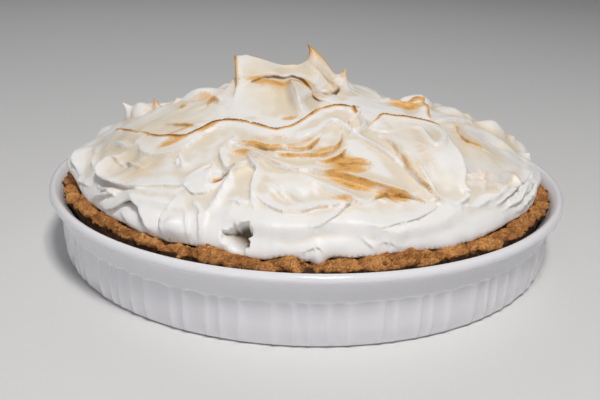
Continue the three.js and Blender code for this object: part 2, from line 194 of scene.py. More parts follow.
def smooth_line(points, steps):
    """A Catmull-Rom curve through the points."""
    padded = np.vstack([2 * points[0] - points[1], points, 2 * points[-1] - points[-2]])
    out = []
    for a, b, c, d in zip(padded, padded[1:], padded[2:], padded[3:]):
        for t in np.arange(steps) / steps:
            out.append(0.5 * (2 * b + (c - a) * t + (2 * a - 5 * b + 4 * c - d) * t**2
                              + (3 * b - a - 3 * c + d) * t**3))
    out.append(points[-1])
    return np.array(out)


CENTRE_FOLDS = [
    Fold([(-34.5, 3, 0.5), (-33, 1.5, 8), (-31, 0.5, 14), (-27, 0, 16.5), (-23, 1, 16.5), (-14, 2, 13),
          (-4, 2, 12.5), (6, 1, 11.4), (12, -1, 7.0), (17, -4, 1)], 26, 46, round=0.5, toast=1.2),
    Fold([(-31, -21, 0.3), (-26, -17, 1.0), (-22, -14.5, 1.2), (-17, -12.5, 1.3), (-12, -11.5, 1.3),
          (-9, -11, 1.3), (-4, -13, 1.4), (0, -18, 1.8), (4, -22, 1.7), (9, -24, 0.5)],
         7, 1.2, lean=1.1, dip=0.7, toast=0.4, crease_shade=1.2),
    Fold([(-9, -14, 1), (-8, -22, 5.5), (-6, -32, 6.5), (-3, -42, 2)], 14, 4.5, toast=0.25),
    Fold([(0, -3, 0.3), (5, -5, 1.4), (9, -7, 1.8), (12, -8, 1.8), (14, -13, 0.4)], 3.5, 1.6, lean=1.0,
         dip=0.8, toast=0.4, crease_shade=0.8),
    Fold([(5, -15, 0.3), (10, -14, 1.6), (13, -14, 1.6), (16, -9, 0.4)], 3, 1.5, lean=0.8, dip=1.2,
         toast=0.5, crease_shade=1.0),
    Fold([(14, -4, 2), (13, -14, 2.0), (9, -24, 1.0), (5, -33, 0.3)], 7, 7),
    Fold([(-35.5, 6, 8), (-36, 3, 13), (-35.5, -4, 11), (-35, -12, 7), (-35, -20, 3.5), (-36, -27, 0.5)],
         14, 1.4, lean=0.4, toast=1.4),
    Fold([(-53, -25, 0.3), (-50, -21.5, 1.8), (-46, -21.5, 1.8), (-43, -26, 0.4)], 5, 1.6, lean=1.0,
         dip=1.0, toast=0.9, crease_shade=0.5),
]

RIBBON_FOLDS = [
    Fold([(24, -30, 2.5), (17, -26, 3), (8, -32, 3), (0, -42, 2.5), (-8, -53, 2), (-16, -56, 2),
          (-26, -50, 2.5), (-36, -44, 2.5), (-44, -44, 2.4), (-51, -49, 2.5), (-58, -53, 2.6),
          (-66, -50, 2.6), (-73, -46, 2.4), (-81, -38, 2.3), (-93, -25, 2.1), (-102, -12, 1.2)],
         12, 2.4, lean=1.0, dip=0.9, toast=2.2, crease_shade=1.0),
    Fold([(20, -30, 1), (25, -32, 3), (27, -42, 3), (25, -50, 2.5), (21, -54, 1)], 3.5, 3.5),
    Fold([(20, -52, 0.6), (19, -47, 1.5), (21, -42, 0.6)], 2, 2, toast=0.4),
    Fold([(0, -61, 1), (6, -54, 2), (13, -46, 2.5), (18, -51, 2), (24, -58, 1)], 8, 2.5),
    Fold([(-36, -64, 1.5), (-39, -71, 2.5), (-38, -79, 2.5), (-35, -86, 2), (-28, -83, 0.5)], 8, 2.5),
    Fold([(-36, -65, 0.4), (-30, -66, 1.6), (-24, -68, 1.7), (-17, -71, 1.7), (-8, -71, 1.7),
          (0, -67, 1.4), (6, -60, 0.4)], 2.4, 1.8, toast=0.6, crease_shade=0.2),
    Fold([(-33, -69, 0.4), (-25, -70, 1.6), (-17, -73, 1.8), (-11, -73, 1.8), (-1, -73, 1.8),
          (3, -70, 1.7), (7, -61, 0.4)], 2.4, 1.8, toast=0.8, crease_shade=0.5),
    Fold([(-17, -78, 0.4), (-8, -79, 1.7), (2, -78, 1.8), (8, -77, 2.1), (13, -72, 2.0),
          (16, -63, 1.3), (16, -54, 0.4)], 2.6, 1.9, toast=0.85, crease_shade=0.4),
    Fold([(4, -84, 0.4), (9, -83, 1.7), (15, -78, 1.8), (18, -71, 0.4)], 2.4, 1.9, toast=0.8),
    Fold([(7, -92, 0.4), (15, -89, 1.2), (24, -88, 0.4)], 2.2, 2.0, toast=0.8),
    Fold([(-36, -74, 0.5), (-29, -74, 2), (-25, -76, 2), (-19, -81, 2), (-8, -87, 2), (4, -89, 2),
          (19, -91, 2.3), (34, -94, 2.6), (41, -96, 2.8), (48, -96, 0.5)], 7, 3.5, lean=0.3,
         toast=0.5),
    Fold([(-2, -92, 0.5), (7, -98, 1.5), (15, -102, 2), (23, -105, 1.6), (29, -106, 0.5)], 5, 3.5),
]

FRONT_FOLDS = [
    Fold([(-36, -113, 0.4), (-32, -115, 1.2), (-23, -119, 1.8), (-14, -121, 2), (-7, -121, 2),
          (4, -120, 2), (13, -118, 1.8), (20, -117, 1.6), (27, -118, 1.8), (34, -118, 1.9),
          (41, -117, 1.9), (50, -113, 1.7), (57, -109, 1.7), (64, -103, 1.4), (72, -95, 0.4)],
         14, 7, round=0.5, toast=0.14, crease_shade=0.3),
    Fold([(-23, -103, 0.4), (-20, -106, 0.9), (-14, -111, 1.3), (-9, -113, 1.6), (-1, -113, 1.6),
          (4, -111, 1.5), (9, -110, 1.5), (18, -108, 1.2)], 9, 2.0, lean=0.4, toast=0.3, crease_shade=0.2),
    Fold([(6, -120, 0.4), (12, -116, 1.2), (16, -111, 1.4), (19, -107, 1.0)], 7, 1.8, lean=0.4, toast=0.3),
    Fold([(27, -117, 0.4), (33, -117, 0.7), (41, -113, 1.1), (50, -108, 1.1), (57, -101, 0.6)], 6, 1.6,
         lean=0.4, toast=0.2, crease_shade=0.2),
    Fold([(-26, -80, 2.6), (-31, -84, 2.2), (-34, -89, 2), (-37, -98, 1.6), (-43, -109, 1.2),
          (-47, -113, 0.5)], 7, 5, toast=0.25),
    Fold([(-26, -80, 2.6), (-22, -87, 2.2), (-23, -94, 1.8), (-24, -101, 1.8), (-23, -108, 1)], 6, 2.6,
         toast=0.25, crease_shade=0.35),
    Fold([(-32, -106, 0.5), (-28, -108, 1.5), (-24, -108, 0.5)], 4, 1.4),
    Fold([(-15, -93, 0.4), (-7, -92, 0.8), (-2, -94, 0.8), (3, -99, 0.8), (5, -105, 0.3)], 6, 5),
    Fold([(0, -112, 0.4), (-1, -110, 0.7), (-7, -106, 1.0), (-12, -101, 1.0), (-16, -98, 0.4)], 5, 2.4),
    Fold([(23, -122, 0.2), (26, -124, 0.7), (29, -126, 0.7), (32, -128, 0.2)], 4, 1.2),
    Fold([(32, -124, 0.2), (35, -123, 0.7), (39, -123, 0.7), (44, -124, 0.2)], 4, 1.2),
    Fold([(28, -105, 0.4), (31, -101.5, 1.0), (36, -100.5, 1.2), (41, -103, 0.4)], 3, 1.2, toast=0.9,
         crease_shade=0.7),
    Fold([(38, -99.5, 0.4), (43, -98.5, 1.0), (48, -98.5, 1.0), (52, -99.5, 0.4)], 2.4, 1.2, toast=1.0,
         crease_shade=0.7),
    Fold([(-4, -132, 0.2), (2, -130, 0.9), (6, -129, 0.9), (10, -132, 0.2)], 4, 1.2, lean=0.4),
]

LEFT_FOLDS = [
    Fold([(-96, -49, 1), (-103, -50, 3), (-105, -57, 4), (-101, -65, 4), (-96, -71, 3.5),
          (-89, -77, 2.5), (-80, -84, 1.5), (-71, -87, 1.2), (-63, -90, 1), (-54, -93, 0.5)],
         9, 2.4, lean=1.8, dip=0.8, toast=0.12, crease_shade=0.35),
    Fold([(-80, -85, 0.4), (-77, -87, 1.2), (-66, -93, 1.2), (-59, -95, 1), (-53, -93, 0.4)], 4, 2.6),
    Fold([(-97, -50, 0.6), (-93, -56, 1.8), (-89, -62, 1.2), (-86, -63, 1.8), (-80, -70, 1.5),
          (-75, -71, 0.5)], 2.2, 2.2, toast=0.35, crease_shade=0.5),
    Fold([(-84, -48, 0.6), (-81, -54, 0.8), (-77, -61, 1.0), (-65, -67, 1.1), (-58, -65, 1.2),
          (-50, -56, 0.8), (-44, -51, 0.4)], 9, 2.2, lean=0.4, toast=0.35, crease_shade=0.25),
    Fold([(-59, -70, 0.3), (-58, -75, 1.1), (-56, -80, 0.3)], 3, 1.4),
    Fold([(-101, -85, 0.8), (-92, -90, 1.6), (-86, -90, 2.0), (-81, -92, 2.4), (-78, -96, 2.4),
          (-75, -103, 2.8), (-73, -111, 1.8)], 14, 1.8, lean=1.6, dip=0.9, crease_shade=1.1),
    Fold([(-62, -102, 1), (-65, -108, 2.6), (-65, -113, 2.8), (-66, -120, 1.4)], 11, 1.8, lean=1.6, dip=1.0,
         crease_shade=0.9),
    Fold([(-49, -104, 0.5), (-46, -110, 1.6), (-46, -117, 1.6), (-48, -124, 0.5)], 4, 3, crease_shade=0.3),
    Fold([(-54, -104, 0.2), (-52, -111, 0.7), (-52, -118, 0.6), (-54, -124, 0.2)], 1.8, 1.8),
    Fold([(-107, -75, 1), (-100, -78, 2.5), (-93, -81, 1)], 5, 1.8, lean=1.0, crease_shade=0.5),
    Fold([(-104, -68, 0.5), (-101, -73, 1.6), (-96, -77, 1.8), (-93, -82, 0.8)], 3, 1.6, lean=0.6,
         crease_shade=0.3),
    Fold([(-54, -89, 0.3), (-47, -84, 0.9), (-43, -82, 0.9), (-38, -86, 0.4)], 2.6, 4, toast=0.3),
    Fold([(-54, -93, 0.4), (-50, -98, 1.1), (-45, -99, 1.1), (-41, -98, 0.4)], 6, 1.4, lean=0.3, crease_shade=0.3),
    Fold([(-42, -95, 0.8), (-39, -91, 1.8), (-34, -88, 1.4), (-30, -83, 0.6)], 4, 1.5, lean=0.6,
         toast=0.45, crease_shade=0.7),
    Fold([(-71, -34, 0.3), (-62, -40, 1.0), (-54, -43, 1.0), (-50, -43, 0.3)], 5, 2.2, toast=0.9, crease_shade=0.5),
    Fold([(-68, -15, 0.3), (-66, -12, 1.2), (-62, -8, 0.4)], 3, 1.5, toast=0.9, crease_shade=0.7),
    Fold([(-59, -71, 0.3), (-60, -76, 1.0), (-55, -80, 0.4)], 3, 1.5),
    Fold([(-122, -42, 0.4), (-119, -51, 1.6), (-111, -63, 0.5)], 4, 1.8, lean=0.6),
    Fold([(-127, -14, 0.4), (-126, -27, 2.2), (-124, -36, 0.4)], 6, 2.5, lean=0.6),
    Fold([(-85, -84, 0.3), (-78, -92, 1.2), (-66, -99, 1.2), (-56, -104, 0.4)], 5, 5),
    Fold([(-87, -96, 0.4), (-84, -103, 1.4), (-80, -108, 0.4)], 5, 3),
    Fold([(-104, -30, 0.4), (-96, -38, 1.4), (-90, -44, 1.2), (-84, -47, 0.4)], 5, 3, toast=0.15),
    Fold([(-112, -28, 0.4), (-110, -42, 1.5), (-108, -52, 0.4)], 5, 3),
]

RIGHT_FOLDS = [
    Fold([(68, -31, 0.5), (60, -30, 2.5), (50, -29, 3), (43, -30, 3), (36, -33, 2.5), (30, -46, 0.5)],
         17, 2.2, lean=1.0, dip=1.6, toast=1.8, crease_shade=1.1),
    Fold([(22, -57, 0.5), (28, -63, 1.8), (32, -67, 1.9), (37, -72, 1.8), (43, -79, 0.5)], 5, 1.5, lean=0.4,
         toast=0.25, crease_shade=0.22),
    Fold([(34, -56, 0.4), (39, -62, 1.8), (41, -67, 1.8), (42, -72, 0.4)], 3, 1.6, lean=0.4, toast=0.45,
         crease_shade=0.25),
    Fold([(42, -68, 0.5), (44, -72, 2.0), (46, -78, 2.6), (49, -82, 2.8), (52, -86, 2.6), (55, -89, 2.2),
          (59, -96, 0.5)], 4, 2.4, lean=0.4, toast=0.8, crease_shade=0.42),
    Fold([(45, -66, 0.3), (52, -79, 1.4), (59, -91, 0.3)], 2.4, 1.8, toast=0.5, crease_shade=0.35),
    Fold([(73, -25, 0.4), (76, -22, 1.0), (77, -30, 1.2), (79, -36, 1.2), (85, -38, 1.0), (89, -41, 0.4)],
         6, 1.6, lean=0.6, dip=0.2, toast=0.75, crease_shade=0.55),
    Fold([(102, -61, 1), (106, -56, 3.0), (103, -51, 4.2), (97, -55, 4.4), (91, -61, 4.4),
          (83, -66, 3.4), (74, -71, 0.5)], 7, 2.2, lean=0.8, dip=0.8, toast=0.3, crease_shade=0.7),
    Fold([(99, -66, 0.5), (90, -69, 1.6), (83, -72, 1.6), (74, -77, 0.5)], 6, 2.4, toast=0.15),
    Fold([(95, -74, 0.3), (88, -78, 1.0), (80, -83, 0.3)], 5, 3),
    Fold([(89, -84, 0.5), (96, -75, 2), (105, -60, 1.9), (114, -44, 1.9), (119, -28, 1.6), (122, -12, 0.5)],
         5, 2.2, lean=0.6),
    Fold([(94, -84, 0.4), (101, -75, 1.2), (108, -63, 1.6), (115, -48, 1.6), (120, -32, 1.2),
          (123, -18, 0.4)], 2.4, 2.0),
    Fold([(101, -76, 0.5), (110, -62, 1.5), (118, -46, 1.8), (122, -30, 1.6), (124, -15, 0.5)], 5, 2.2,
         lean=0.6),
    Fold([(107, -75, 0.5), (116, -58, 1.8), (122, -42, 2.2), (125, -26, 1.4), (127, -12, 0.4)], 4, 2.2),
    Fold([(69, -93, 0.5), (72, -90, 2.2), (75, -86, 2.0), (73, -82, 0.6)], 2.6, 2.0),
    Fold([(55, -97, 0.3), (60, -95, 1.2), (66, -95, 0.4)], 4, 1.8, toast=0.2),
    Fold([(72, -88, 0.5), (73, -78, 2.2), (74, -66, 3.0), (71, -54, 3.4), (69, -42, 3), (67, -32, 0.8)],
         20, 3.5, lean=0.4),
    Fold([(50, -41, 0.3), (55, -41, 1.2), (58, -49, 1.4), (62, -52, 1.4), (67, -44, 1.2), (68, -35, 0.3)],
         4, 4),
    Fold([(30, -52, 0.3), (37, -51, 0.8), (46, -44, 0.3)], 4, 2.4),
    Fold([(44, -16, 0.3), (50, -13, 1.0), (55, -9, 0.4)], 2.4, 1.6, toast=1.0, crease_shade=0.5),
    Fold([(52, -2, 0.3), (57, 4, 1.0), (62, 6, 0.4)], 2.4, 1.8, toast=1.0, crease_shade=0.6),
    Fold([(63, -23, 0.8), (62, -18, 2.2), (63, -6, 2.8), (62, 6, 2)], 10, 2.0, lean=0.8, dip=0.8,
         toast=0.9, crease_shade=0.8),
    Fold([(38, -8, 0.3), (46, -5, 1.4), (56, -4, 1.4), (62, -6, 0.4)], 4, 3, toast=0.4),
    Fold([(64, -24, 0.4), (72, -16, 1.8), (85, -4, 1.8), (90, -4, 0.4)], 9, 3),
    Fold([(92, -82, 0.3), (102, -69, 1.0), (113, -49, 1.0), (122, -26, 0.3)], 2.2, 1.8),
    Fold([(70, -94, 0.3), (80, -89, 1.4), (92, -75, 1.8), (99, -63, 0.5)], 6, 3.5),
    Fold([(84, -62, 0.3), (82, -70, 0.9), (83, -78, 0.3)], 3, 3),
]


class Peak:
    """A standing point: place on the map, radius of its base, height, throw of its tip."""

    def __init__(self, at, base, height, tip=(0, 0), toast=0.0, sharp=1.7):
        self.at = at
        self.base = base
        self.height = height
        self.tip = tip
        self.toast = toast
        self.sharp = sharp


PEAKS = [
    Peak((5.6, 2), 12, 12.6, (-8.4, 1), 0.5),
    Peak((17.2, -4.5), 7.2, 11.8, (0.4, 0), 0.45, 2.1),
    Peak((13, -10), 8, 3.0, (0, 0), 0.1),
    Peak((-97, 4), 4.5, 7, (-1.5, 0), 0.2),
    Peak((-81, 2), 3.2, 5.5, (0, 0), 0.6),
    Peak((-70, 0), 4, 2.5, (1, 0), 0.3),
    Peak((34, -102), 4, 2.2, (0, 0), 0.5),
    Peak((71, -88), 3.4, 2.4, (1, -1), 0.0),
    Peak((88, 12), 7, 2.6, (1, 0), 0.3),
    Peak((104, 12), 6, 3.4, (1, 0), 0.25),
    Peak((113, 4), 5, 1.6, (1, 0), 0.0),
    Peak((120, -10), 5, 3.4, (0, 0), 0.0),
    Peak((-42, -88), 3, 1.5, (0, 0), 0.2),
]


class Swell:
    """A rounded swelling or hollow: place, two half widths, turn in degrees, rise."""

    def __init__(self, at, half, turn, rise, power=2.0):
        self.at = at
        self.half = half
        self.turn = math.radians(turn)
        self.rise = rise
        self.power = power

    def cover(self, q):
        """1 in the middle of the oval on the map, 0 at its edge and beyond."""
        dx = q[:, 0] - self.at[0]
        dy = q[:, 1] - self.at[1]
        u = (dx * math.cos(self.turn) + dy * math.sin(self.turn)) / self.half[0]
        v = (dy * math.cos(self.turn) - dx * math.sin(self.turn)) / self.half[1]
        return np.clip(1 - u * u - v * v, 0, 1)


TRACED_SWELLS = [
    Swell((58, -62), (34, 24), -60, 4),
    Swell((-57, -112), (9, 12), 90, 2.5),
    Swell((-60, -111), (4, 5), 0, 1.2),
    Swell((-47, -90), (11, 9), 20, 2.0),
    Swell((-5, -98), (13, 9), 0, 1.6),
    Swell((-8, -107), (9, 6), -30, -2.5),
    Swell((-38.5, -96.5), (4.0, 2.6), 40, -4.5, 1.0),
    Swell((-88, -68), (16, 10), 30, -2),
    Swell((89, -44), (17, 8), 25, -8.5),
]

SWELLS = [
    Swell((56, 2), (11.5, 9), 10, 6, 1.0),
    Swell((-90, 0), (6, 6), 0, 3, 1.0),
    Swell((-78, 6), (5, 9), 0, -2.5),
    Swell((-44, -5), (6, 12), 0, -5, 1.0),
    Swell((46, 40), (16, 20), 0, -3),
    Swell((78, 0), (12, 10), 0, 3.6),
    Swell((100, 2), (12, 10), 0, 5.6),
    Swell((115, 8), (16, 12), 60, 3.2),
    Swell((-92, 6), (13, 12), 0, 4.4),
    Swell((-57, 2), (16, 12), 0, 4.5),
    Swell((-124, -22), (30, 16), 100, 4),
    Swell((-122, -34), (18, 12), 105, 3.5),
    Swell((40, 22), (34, 30), 30, -6.5, 1.0),
    Swell((58, 58), (42, 36), 0, -7, 1.0),
    Swell((40, 10), (13, 16), 0, -6),
    Swell((28, 96), (26, 16), 20, 3.5),
    Swell((-40, 88), (30, 15), -20, 4),
    Swell((-6, 60), (24, 14), 0, 2.5),
    Swell((-72, 46), (40, 34), -30, -6, 1.0),
    Swell((-120, -60), (10, 6), 60, 2),
    Swell((-117, 6), (12, 10), 90, 3),
    Swell((126, -24), (26, 12), 100, 3.4),
    Swell((124, 6), (14, 10), 90, 3),
]

# Toasted patches: place on the map, two half widths, turn in degrees, strength.
PATCHES = [
    Swell((19, -84), (12, 7), 6, 1.0),
    Swell((20, -88), (8, 1.6), 4, 0.6),
    Swell((19.5, -96), (12, 4.6), -10, 1.0),
    Swell((38, -99.8), (9, 1.8), -10, 1.2),
    Swell((16, -106), (8, 1.8), -5, 0.6),
    Swell((8, -75), (8, 2.4), 25, 0.7),
    Swell((-29, -76), (8, 2.2), -4, 0.6),
    Swell((-18, -66), (14, 3.4), 0, 0.32),
    Swell((-66, -48), (16, 1.8), 14, 0.7),
    Swell((-64, -58), (9, 2.6), -4, 0.75),
    Swell((-47, -47), (8, 2.6), 45, 0.8),
    Swell((46, 4), (18, 8), 10, 0.45),
    Swell((50, -9), (14, 6), 12, 0.7),
    Swell((-18, 0), (26, 5), 0, 0.3),
    Swell((-14, 4), (24, 3), 0, 0.8),
    Swell((-75, -77), (14, 8), 10, 0.28),
    Swell((72, -50), (10, 16), 0, 0.2),
    Swell((54, -66), (5, 16), 25, 0.3),
    Swell((83, -76), (14, 7), 20, 0.22),
    Swell((20, -28), (8, 2.4), 0, 0.8),
    Swell((-37, -69), (3, 5), 0, 0.3),
    Swell((-83, 0), (16, 14), 0, 0.25),
    Swell((-38.5, -96.5), (2.6, 1.8), 40, 1.0),
    Swell((-55, -2), (10, 5), 0, 0.5),
    Swell((-9, -46), (5, 3), 20, 0.9),
    Swell((84, -34), (7, 2.4), -40, 0.3),
]

# Broad cream tints where the heat caught the foam, and in the valleys right of the middle painted shade:
# place, half widths, turn, strength.
CREAM_AND_SHADE_TINTS = [
    Swell((-78, -38), (46, 26), 30, 1.0),
    Swell((-20, -8), (34, 20), 0, 0.75),
    Swell((-10, -30), (24, 16), 0, 0.9),
    Swell((80, -40), (24, 26), 0, 0.85),
    Swell((48, -56), (16, 24), 30, 0.45),
    Swell((60, 2), (30, 14), 0, 0.5),
    Swell((-76, -72), (26, 10), 15, 0.8),
    Swell((-100, -40), (16, 22), 0, 0.4),
    Swell((8, -96), (40, 9), -5, 0.35),
    Swell((-27, -87), (7, 9), 0, 0.8),
    # painted shade in the valley right of the middle
    Swell((89, -43), (20, 10), 25, 1.0),
    Swell((86, -42), (16, 8), 25, 1.0),
    Swell((-16, -22), (16, 12), 0, 0.7),
    Swell((0, 60), (110, 70), 0, 0.6),
    Swell((100, 0), (32, 20), 0, 1.0),
    # painted shade under the leaf right of the middle
    Swell((90, -69), (16, 5), 25, 1.0),
    Swell((64, -84), (10, 6), 0, 0.5),
]

# The torn pocket low in the front wall, and the side its steep wall stands on, degrees.
POCKET_AT = (-29.0, -124.0)
POCKET_HALF = (7.0, 5.8)
POCKET_DEPTH = 10.0
POCKET_FACING = 38.0

# The far side isn't seen: rows of folds of the same kind, from a seeded draw.
FAR_ROWS = ((50.0, 4), (68.0, 6), (87.0, 8), (105.0, 9), (121.0, 9))
FAR_SEED = 7
FAR_FROM = 22.0
FAR_TO = 158.0


def far_folds():
    """Short curved folds in rows round the far side of the dome."""
    draw = np.random.default_rng(FAR_SEED)
    spread = math.radians(FAR_TO - FAR_FROM)
    made = []
    for row, (reach, count) in enumerate(FAR_ROWS):
        for i in range(count):
            share = (i + 0.5 + 0.35 * (row % 2) + 0.5 * (draw.random() - 0.5)) / count
            angle = math.radians(FAR_FROM + (FAR_TO - FAR_FROM) * share)
            away = reach + 9 * (draw.random() - 0.5)
            heading = angle + math.pi / 2 + 0.9 * (draw.random() - 0.5)
            length = (0.75 + 0.35 * draw.random()) * reach * spread / count
            bend = 1.4 * (draw.random() - 0.3)
            height = 1.2 + 2.6 * draw.random()
            line = []
            for t in (-0.5, -0.25, 0.0, 0.25, 0.5):
                turned = heading + bend * t
                line.append((away * math.cos(angle) + length * t * math.cos(turned),
                             away * math.sin(angle) + length * t * math.sin(turned),
                             height * (1 - 3.4 * t * t)))
            made.append(Fold(line, 8 + 7 * draw.random(), 1.8 + 1.6 * draw.random(),
                             lean=1.2 * draw.random(), dip=0.4, toast=0.9 * draw.random() ** 2,
                             crease_shade=0.4 * draw.random()))
    return made


TRACED_FOLDS = RIBBON_FOLDS + FRONT_FOLDS + LEFT_FOLDS + RIGHT_FOLDS
TRACED_SPOTS = TRACED_SWELLS + PATCHES
FOLDS = CENTRE_FOLDS + TRACED_FOLDS + far_folds()


def settle():
    """Moves each traced line, swelling and patch to stand under its crest as it is seen.

    They are traced where they show on the smooth dome from the front. A crest that rises
    shows further up, so its line moves towards the eye by the rise, along the sight line.
    """
    eye = np.array(CAMERA_PLACE) / MM
    for fold in TRACED_FOLDS:
        fold.crest[:, 2] *= RELIEF_GAIN
        fold.highest *= RELIEF_GAIN
        fold.front *= CRISPNESS
        fold.lean *= LEAN_GAIN
    starts = [fold.crest[:, :2].copy() for fold in TRACED_FOLDS]
    spot_starts = [np.array([spot.at], float) for spot in TRACED_SPOTS]
    for _ in range(SETTLE_ROUNDS):
        moved = [let_down(start, fold.crest[:, :2], eye) for fold, start in zip(TRACED_FOLDS, starts)]
        shifted = [let_down(start, np.array([spot.at], float), eye)
                   for spot, start in zip(TRACED_SPOTS, spot_starts)]
        for fold, start, place in zip(TRACED_FOLDS, starts, moved):
            fold.crest[:, :2] = 0.4 * fold.crest[:, :2] + 0.6 * (start + evened(place - start))
        for spot, place in zip(TRACED_SPOTS, shifted):
            spot.at = tuple(0.4 * np.array(spot.at) + 0.6 * place[0])


def evened(shift):
    """A run of shifts with its kinks smoothed out, none of them over long."""
    size = np.linalg.norm(shift, axis=1)[:, None]
    shift = shift * np.minimum(1, LONGEST_SHIFT / np.maximum(size, 1e-9))
    width = EVEN_SPAN
    padded = np.vstack([shift[:1]] * width + [shift] + [shift[-1:]] * width)
    total = np.cumsum(np.vstack([np.zeros((1, 2)), padded]), axis=0)
    return (total[2 * width + 1:] - total[:-2 * width - 1]) / (2 * width + 1)


def let_down(seen, q, eye):
    """Where on the map a crest stands that is seen at another place on the smooth dome."""
    base, normal, along, around = dome_frame(q)
    sight = eye - base
    sight /= np.linalg.norm(sight, axis=1)[:, None]
    facing = np.maximum((sight * normal).sum(1), LEAST_FACING)
    rise, throw, _ = relief(q, uneven=False)
    outward = (sight * along).sum(1) / facing
    sideways = (sight * around).sum(1) / facing
    length = np.maximum(np.hypot(q[:, 0], q[:, 1]), 1.0)[:, None]
    radial = q / length
    turned = np.stack([-radial[:, 1], radial[:, 0]], 1)
    height = np.clip(rise, -HIGHEST_SHIFT, HIGHEST_SHIFT)[:, None]
    return seen + height * (radial * outward[:, None] + turned * sideways[:, None]) - throw


def smooth(x):
    """A smooth step: 0 up to 0, 1 from 1 on."""
    t = np.clip(x, 0.0, 1.0)
    return t * t * (3 - 2 * t)


def rough(points, size, seed, octaves):
    """Fractal noise of about -1 to 1 at points given as rows, with features of this size."""
    shift = Vector((seed * 17.3, seed * 5.1, seed * 9.7))
    return np.array([noise.fractal(Vector(p) + shift, 1.0, 2.0, octaves) for p in points / size])


def nearest_on(crest, q):
    """Distance from map points q to a crest line, the side, the height there and the left normal."""
    a = crest[:-1]
    d = crest[1:] - a
    length2 = np.maximum((d[:, :2] ** 2).sum(1), 1e-12)
    rel = q[:, None, :] - a[None, :, :2]
    t = np.clip((rel * d[None, :, :2]).sum(2) / length2, 0, 1)
    off = rel - t[:, :, None] * d[None, :, :2]
    gap2 = (off**2).sum(2)
    k = gap2.argmin(1)
    row = np.arange(len(q))
    along = d[k, :2] / np.sqrt(length2[k])[:, None]
    side = along[:, 0] * rel[row, k, 1] - along[:, 1] * rel[row, k, 0]
    height = a[k, 2] + t[row, k] * d[k, 2]
    normal = np.stack([-along[:, 1], along[:, 0]], 1)
    return np.sqrt(gap2[row, k]), side >= 0, height, normal


def over(below, above):
    """Two coverings laid one over the other, each from 0 to 1."""
    return 1 - (1 - below) * (1 - above)


def near_fold(fold, q):
    """Which of the map points lie within reach of a fold."""
    reach = max(fold.back, fold.front * 2.5)
    low = fold.crest[:, :2].min(0) - reach
    high = fold.crest[:, :2].max(0) + reach
    return np.nonzero(((q >= low) & (q <= high)).all(1))[0]


def fold_relief(fold, q):
    """One fold's rise, sideways throw, toast and painted crevice shade at map points near it."""
    gap, left, height, normal = nearest_on(fold.crest, q)
    share = np.clip(gap / np.where(left, fold.back, fold.front), 0, 1)
    form = (1 - fold.round) * (1 - share) ** 2 + fold.round * (1 - share**2) ** 2
    part = height / fold.highest
    crevice = np.exp(-(((gap - fold.front) / fold.front) ** 2)) * part * ~left
    throw = -normal * (fold.lean * part * form)[:, None]
    toast = fold.toast * part * np.exp(-((gap / np.where(left, TOAST_BACK, TOAST_FRONT)) ** 2))
    # painted shade along the crevice in front of the crest
    crease_shade = fold.crease_shade * part * np.exp(-(((gap - CREASE_SHADE_OFF) / CREASE_SHADE_WIDTH) ** 2)) * ~left
    return height * form - fold.dip * crevice, throw, toast, crease_shade


def relief(q, uneven=True):
    """Rise over the dome and sideways throw at map points q, mm, with their toast and painted crease shade.
    """
    rise = np.zeros(len(q))
    throw = np.zeros_like(q)
    toast = np.zeros(len(q))
    crease_shade = np.zeros(len(q))
    spot = np.column_stack([q, np.zeros(len(q))])
    if uneven:
        q = q + WANDER * np.column_stack([rough(spot, WANDER_SIZE, seed, 2) for seed in (1, 2)])
        rise = SWELL_RISE * rough(spot, SWELL_SIZE, 3, 2) + RIPPLE_RISE * rough(spot, RIPPLE_SIZE, 4, 3)
    for fold in FOLDS:
        near = near_fold(fold, q)
        if not len(near):
            continue
        up, aside, brown, dark = fold_relief(fold, q[near])
        rise[near] += up
        throw[near] += aside
        if fold.toast:
            if uneven:
                brown *= 0.7 + 0.6 * rough(spot[near], TOAST_BREAK, 22, 2)
            toast[near] = over(toast[near], np.clip(brown, 0, 1))
        if fold.crease_shade:
            if uneven:
                dark *= 0.85 + 0.7 * rough(spot[near], CREASE_SHADE_BREAK, 23, 2)
            crease_shade[near] = np.maximum(crease_shade[near], np.clip(dark, 0, 1))
    for peak in PEAKS:
        share = np.clip(np.hypot(q[:, 0] - peak.at[0], q[:, 1] - peak.at[1]) / peak.base, 0, 1)
        form = (1 - share) ** peak.sharp
        rise += peak.height * form
        throw += np.outer(form**2, peak.tip)
        toast = over(toast, peak.toast * form)
    for swell in SWELLS + TRACED_SWELLS:
        rise += swell.rise * swell.cover(q) ** swell.power
    for patch in PATCHES:
        cover = 0.8 * patch.rise * patch.cover(q)
        near = cover > 0
        if uneven and near.any():
            cover[near] *= 0.85 + 0.5 * streaks(q[near], patch)
        toast = over(toast, np.clip(cover, 0, 1))
    rise -= POCKET_DEPTH * pocket(q)
    return rise, throw, np.stack([toast, crease_shade], 1)


def streaks(q, patch):
    """Noise drawn out along a patch, as the spatula left it."""
    cos, sin = math.cos(patch.turn), math.sin(patch.turn)
    along = (q[:, 0] * cos + q[:, 1] * sin) / STREAK_LENGTH
    across = (q[:, 1] * cos - q[:, 0] * sin) / STREAK_WIDTH
    return rough(np.column_stack([along, across, np.zeros(len(q))]), 1.0, 21, 2)


def pocket(q):
    """The torn pocket: a steep ragged wall up and right, running out flat down and left."""
    dx = (q[:, 0] - POCKET_AT[0]) / POCKET_HALF[0]
    dy = (q[:, 1] - POCKET_AT[1]) / POCKET_HALF[1]
    turn = np.arctan2(dy, dx)
    edge = 1 + 0.16 * np.sin(3 * turn - 0.9) + 0.09 * np.sin(8 * turn) + 0.05 * np.sin(15 * turn + 1)
    facing = math.radians(POCKET_FACING)
    deep = dx * math.cos(facing) + dy * math.sin(facing)
    return smooth((edge - np.hypot(dx, dy)) / 0.2) * np.clip(0.55 + 0.6 * deep, 0, 1)


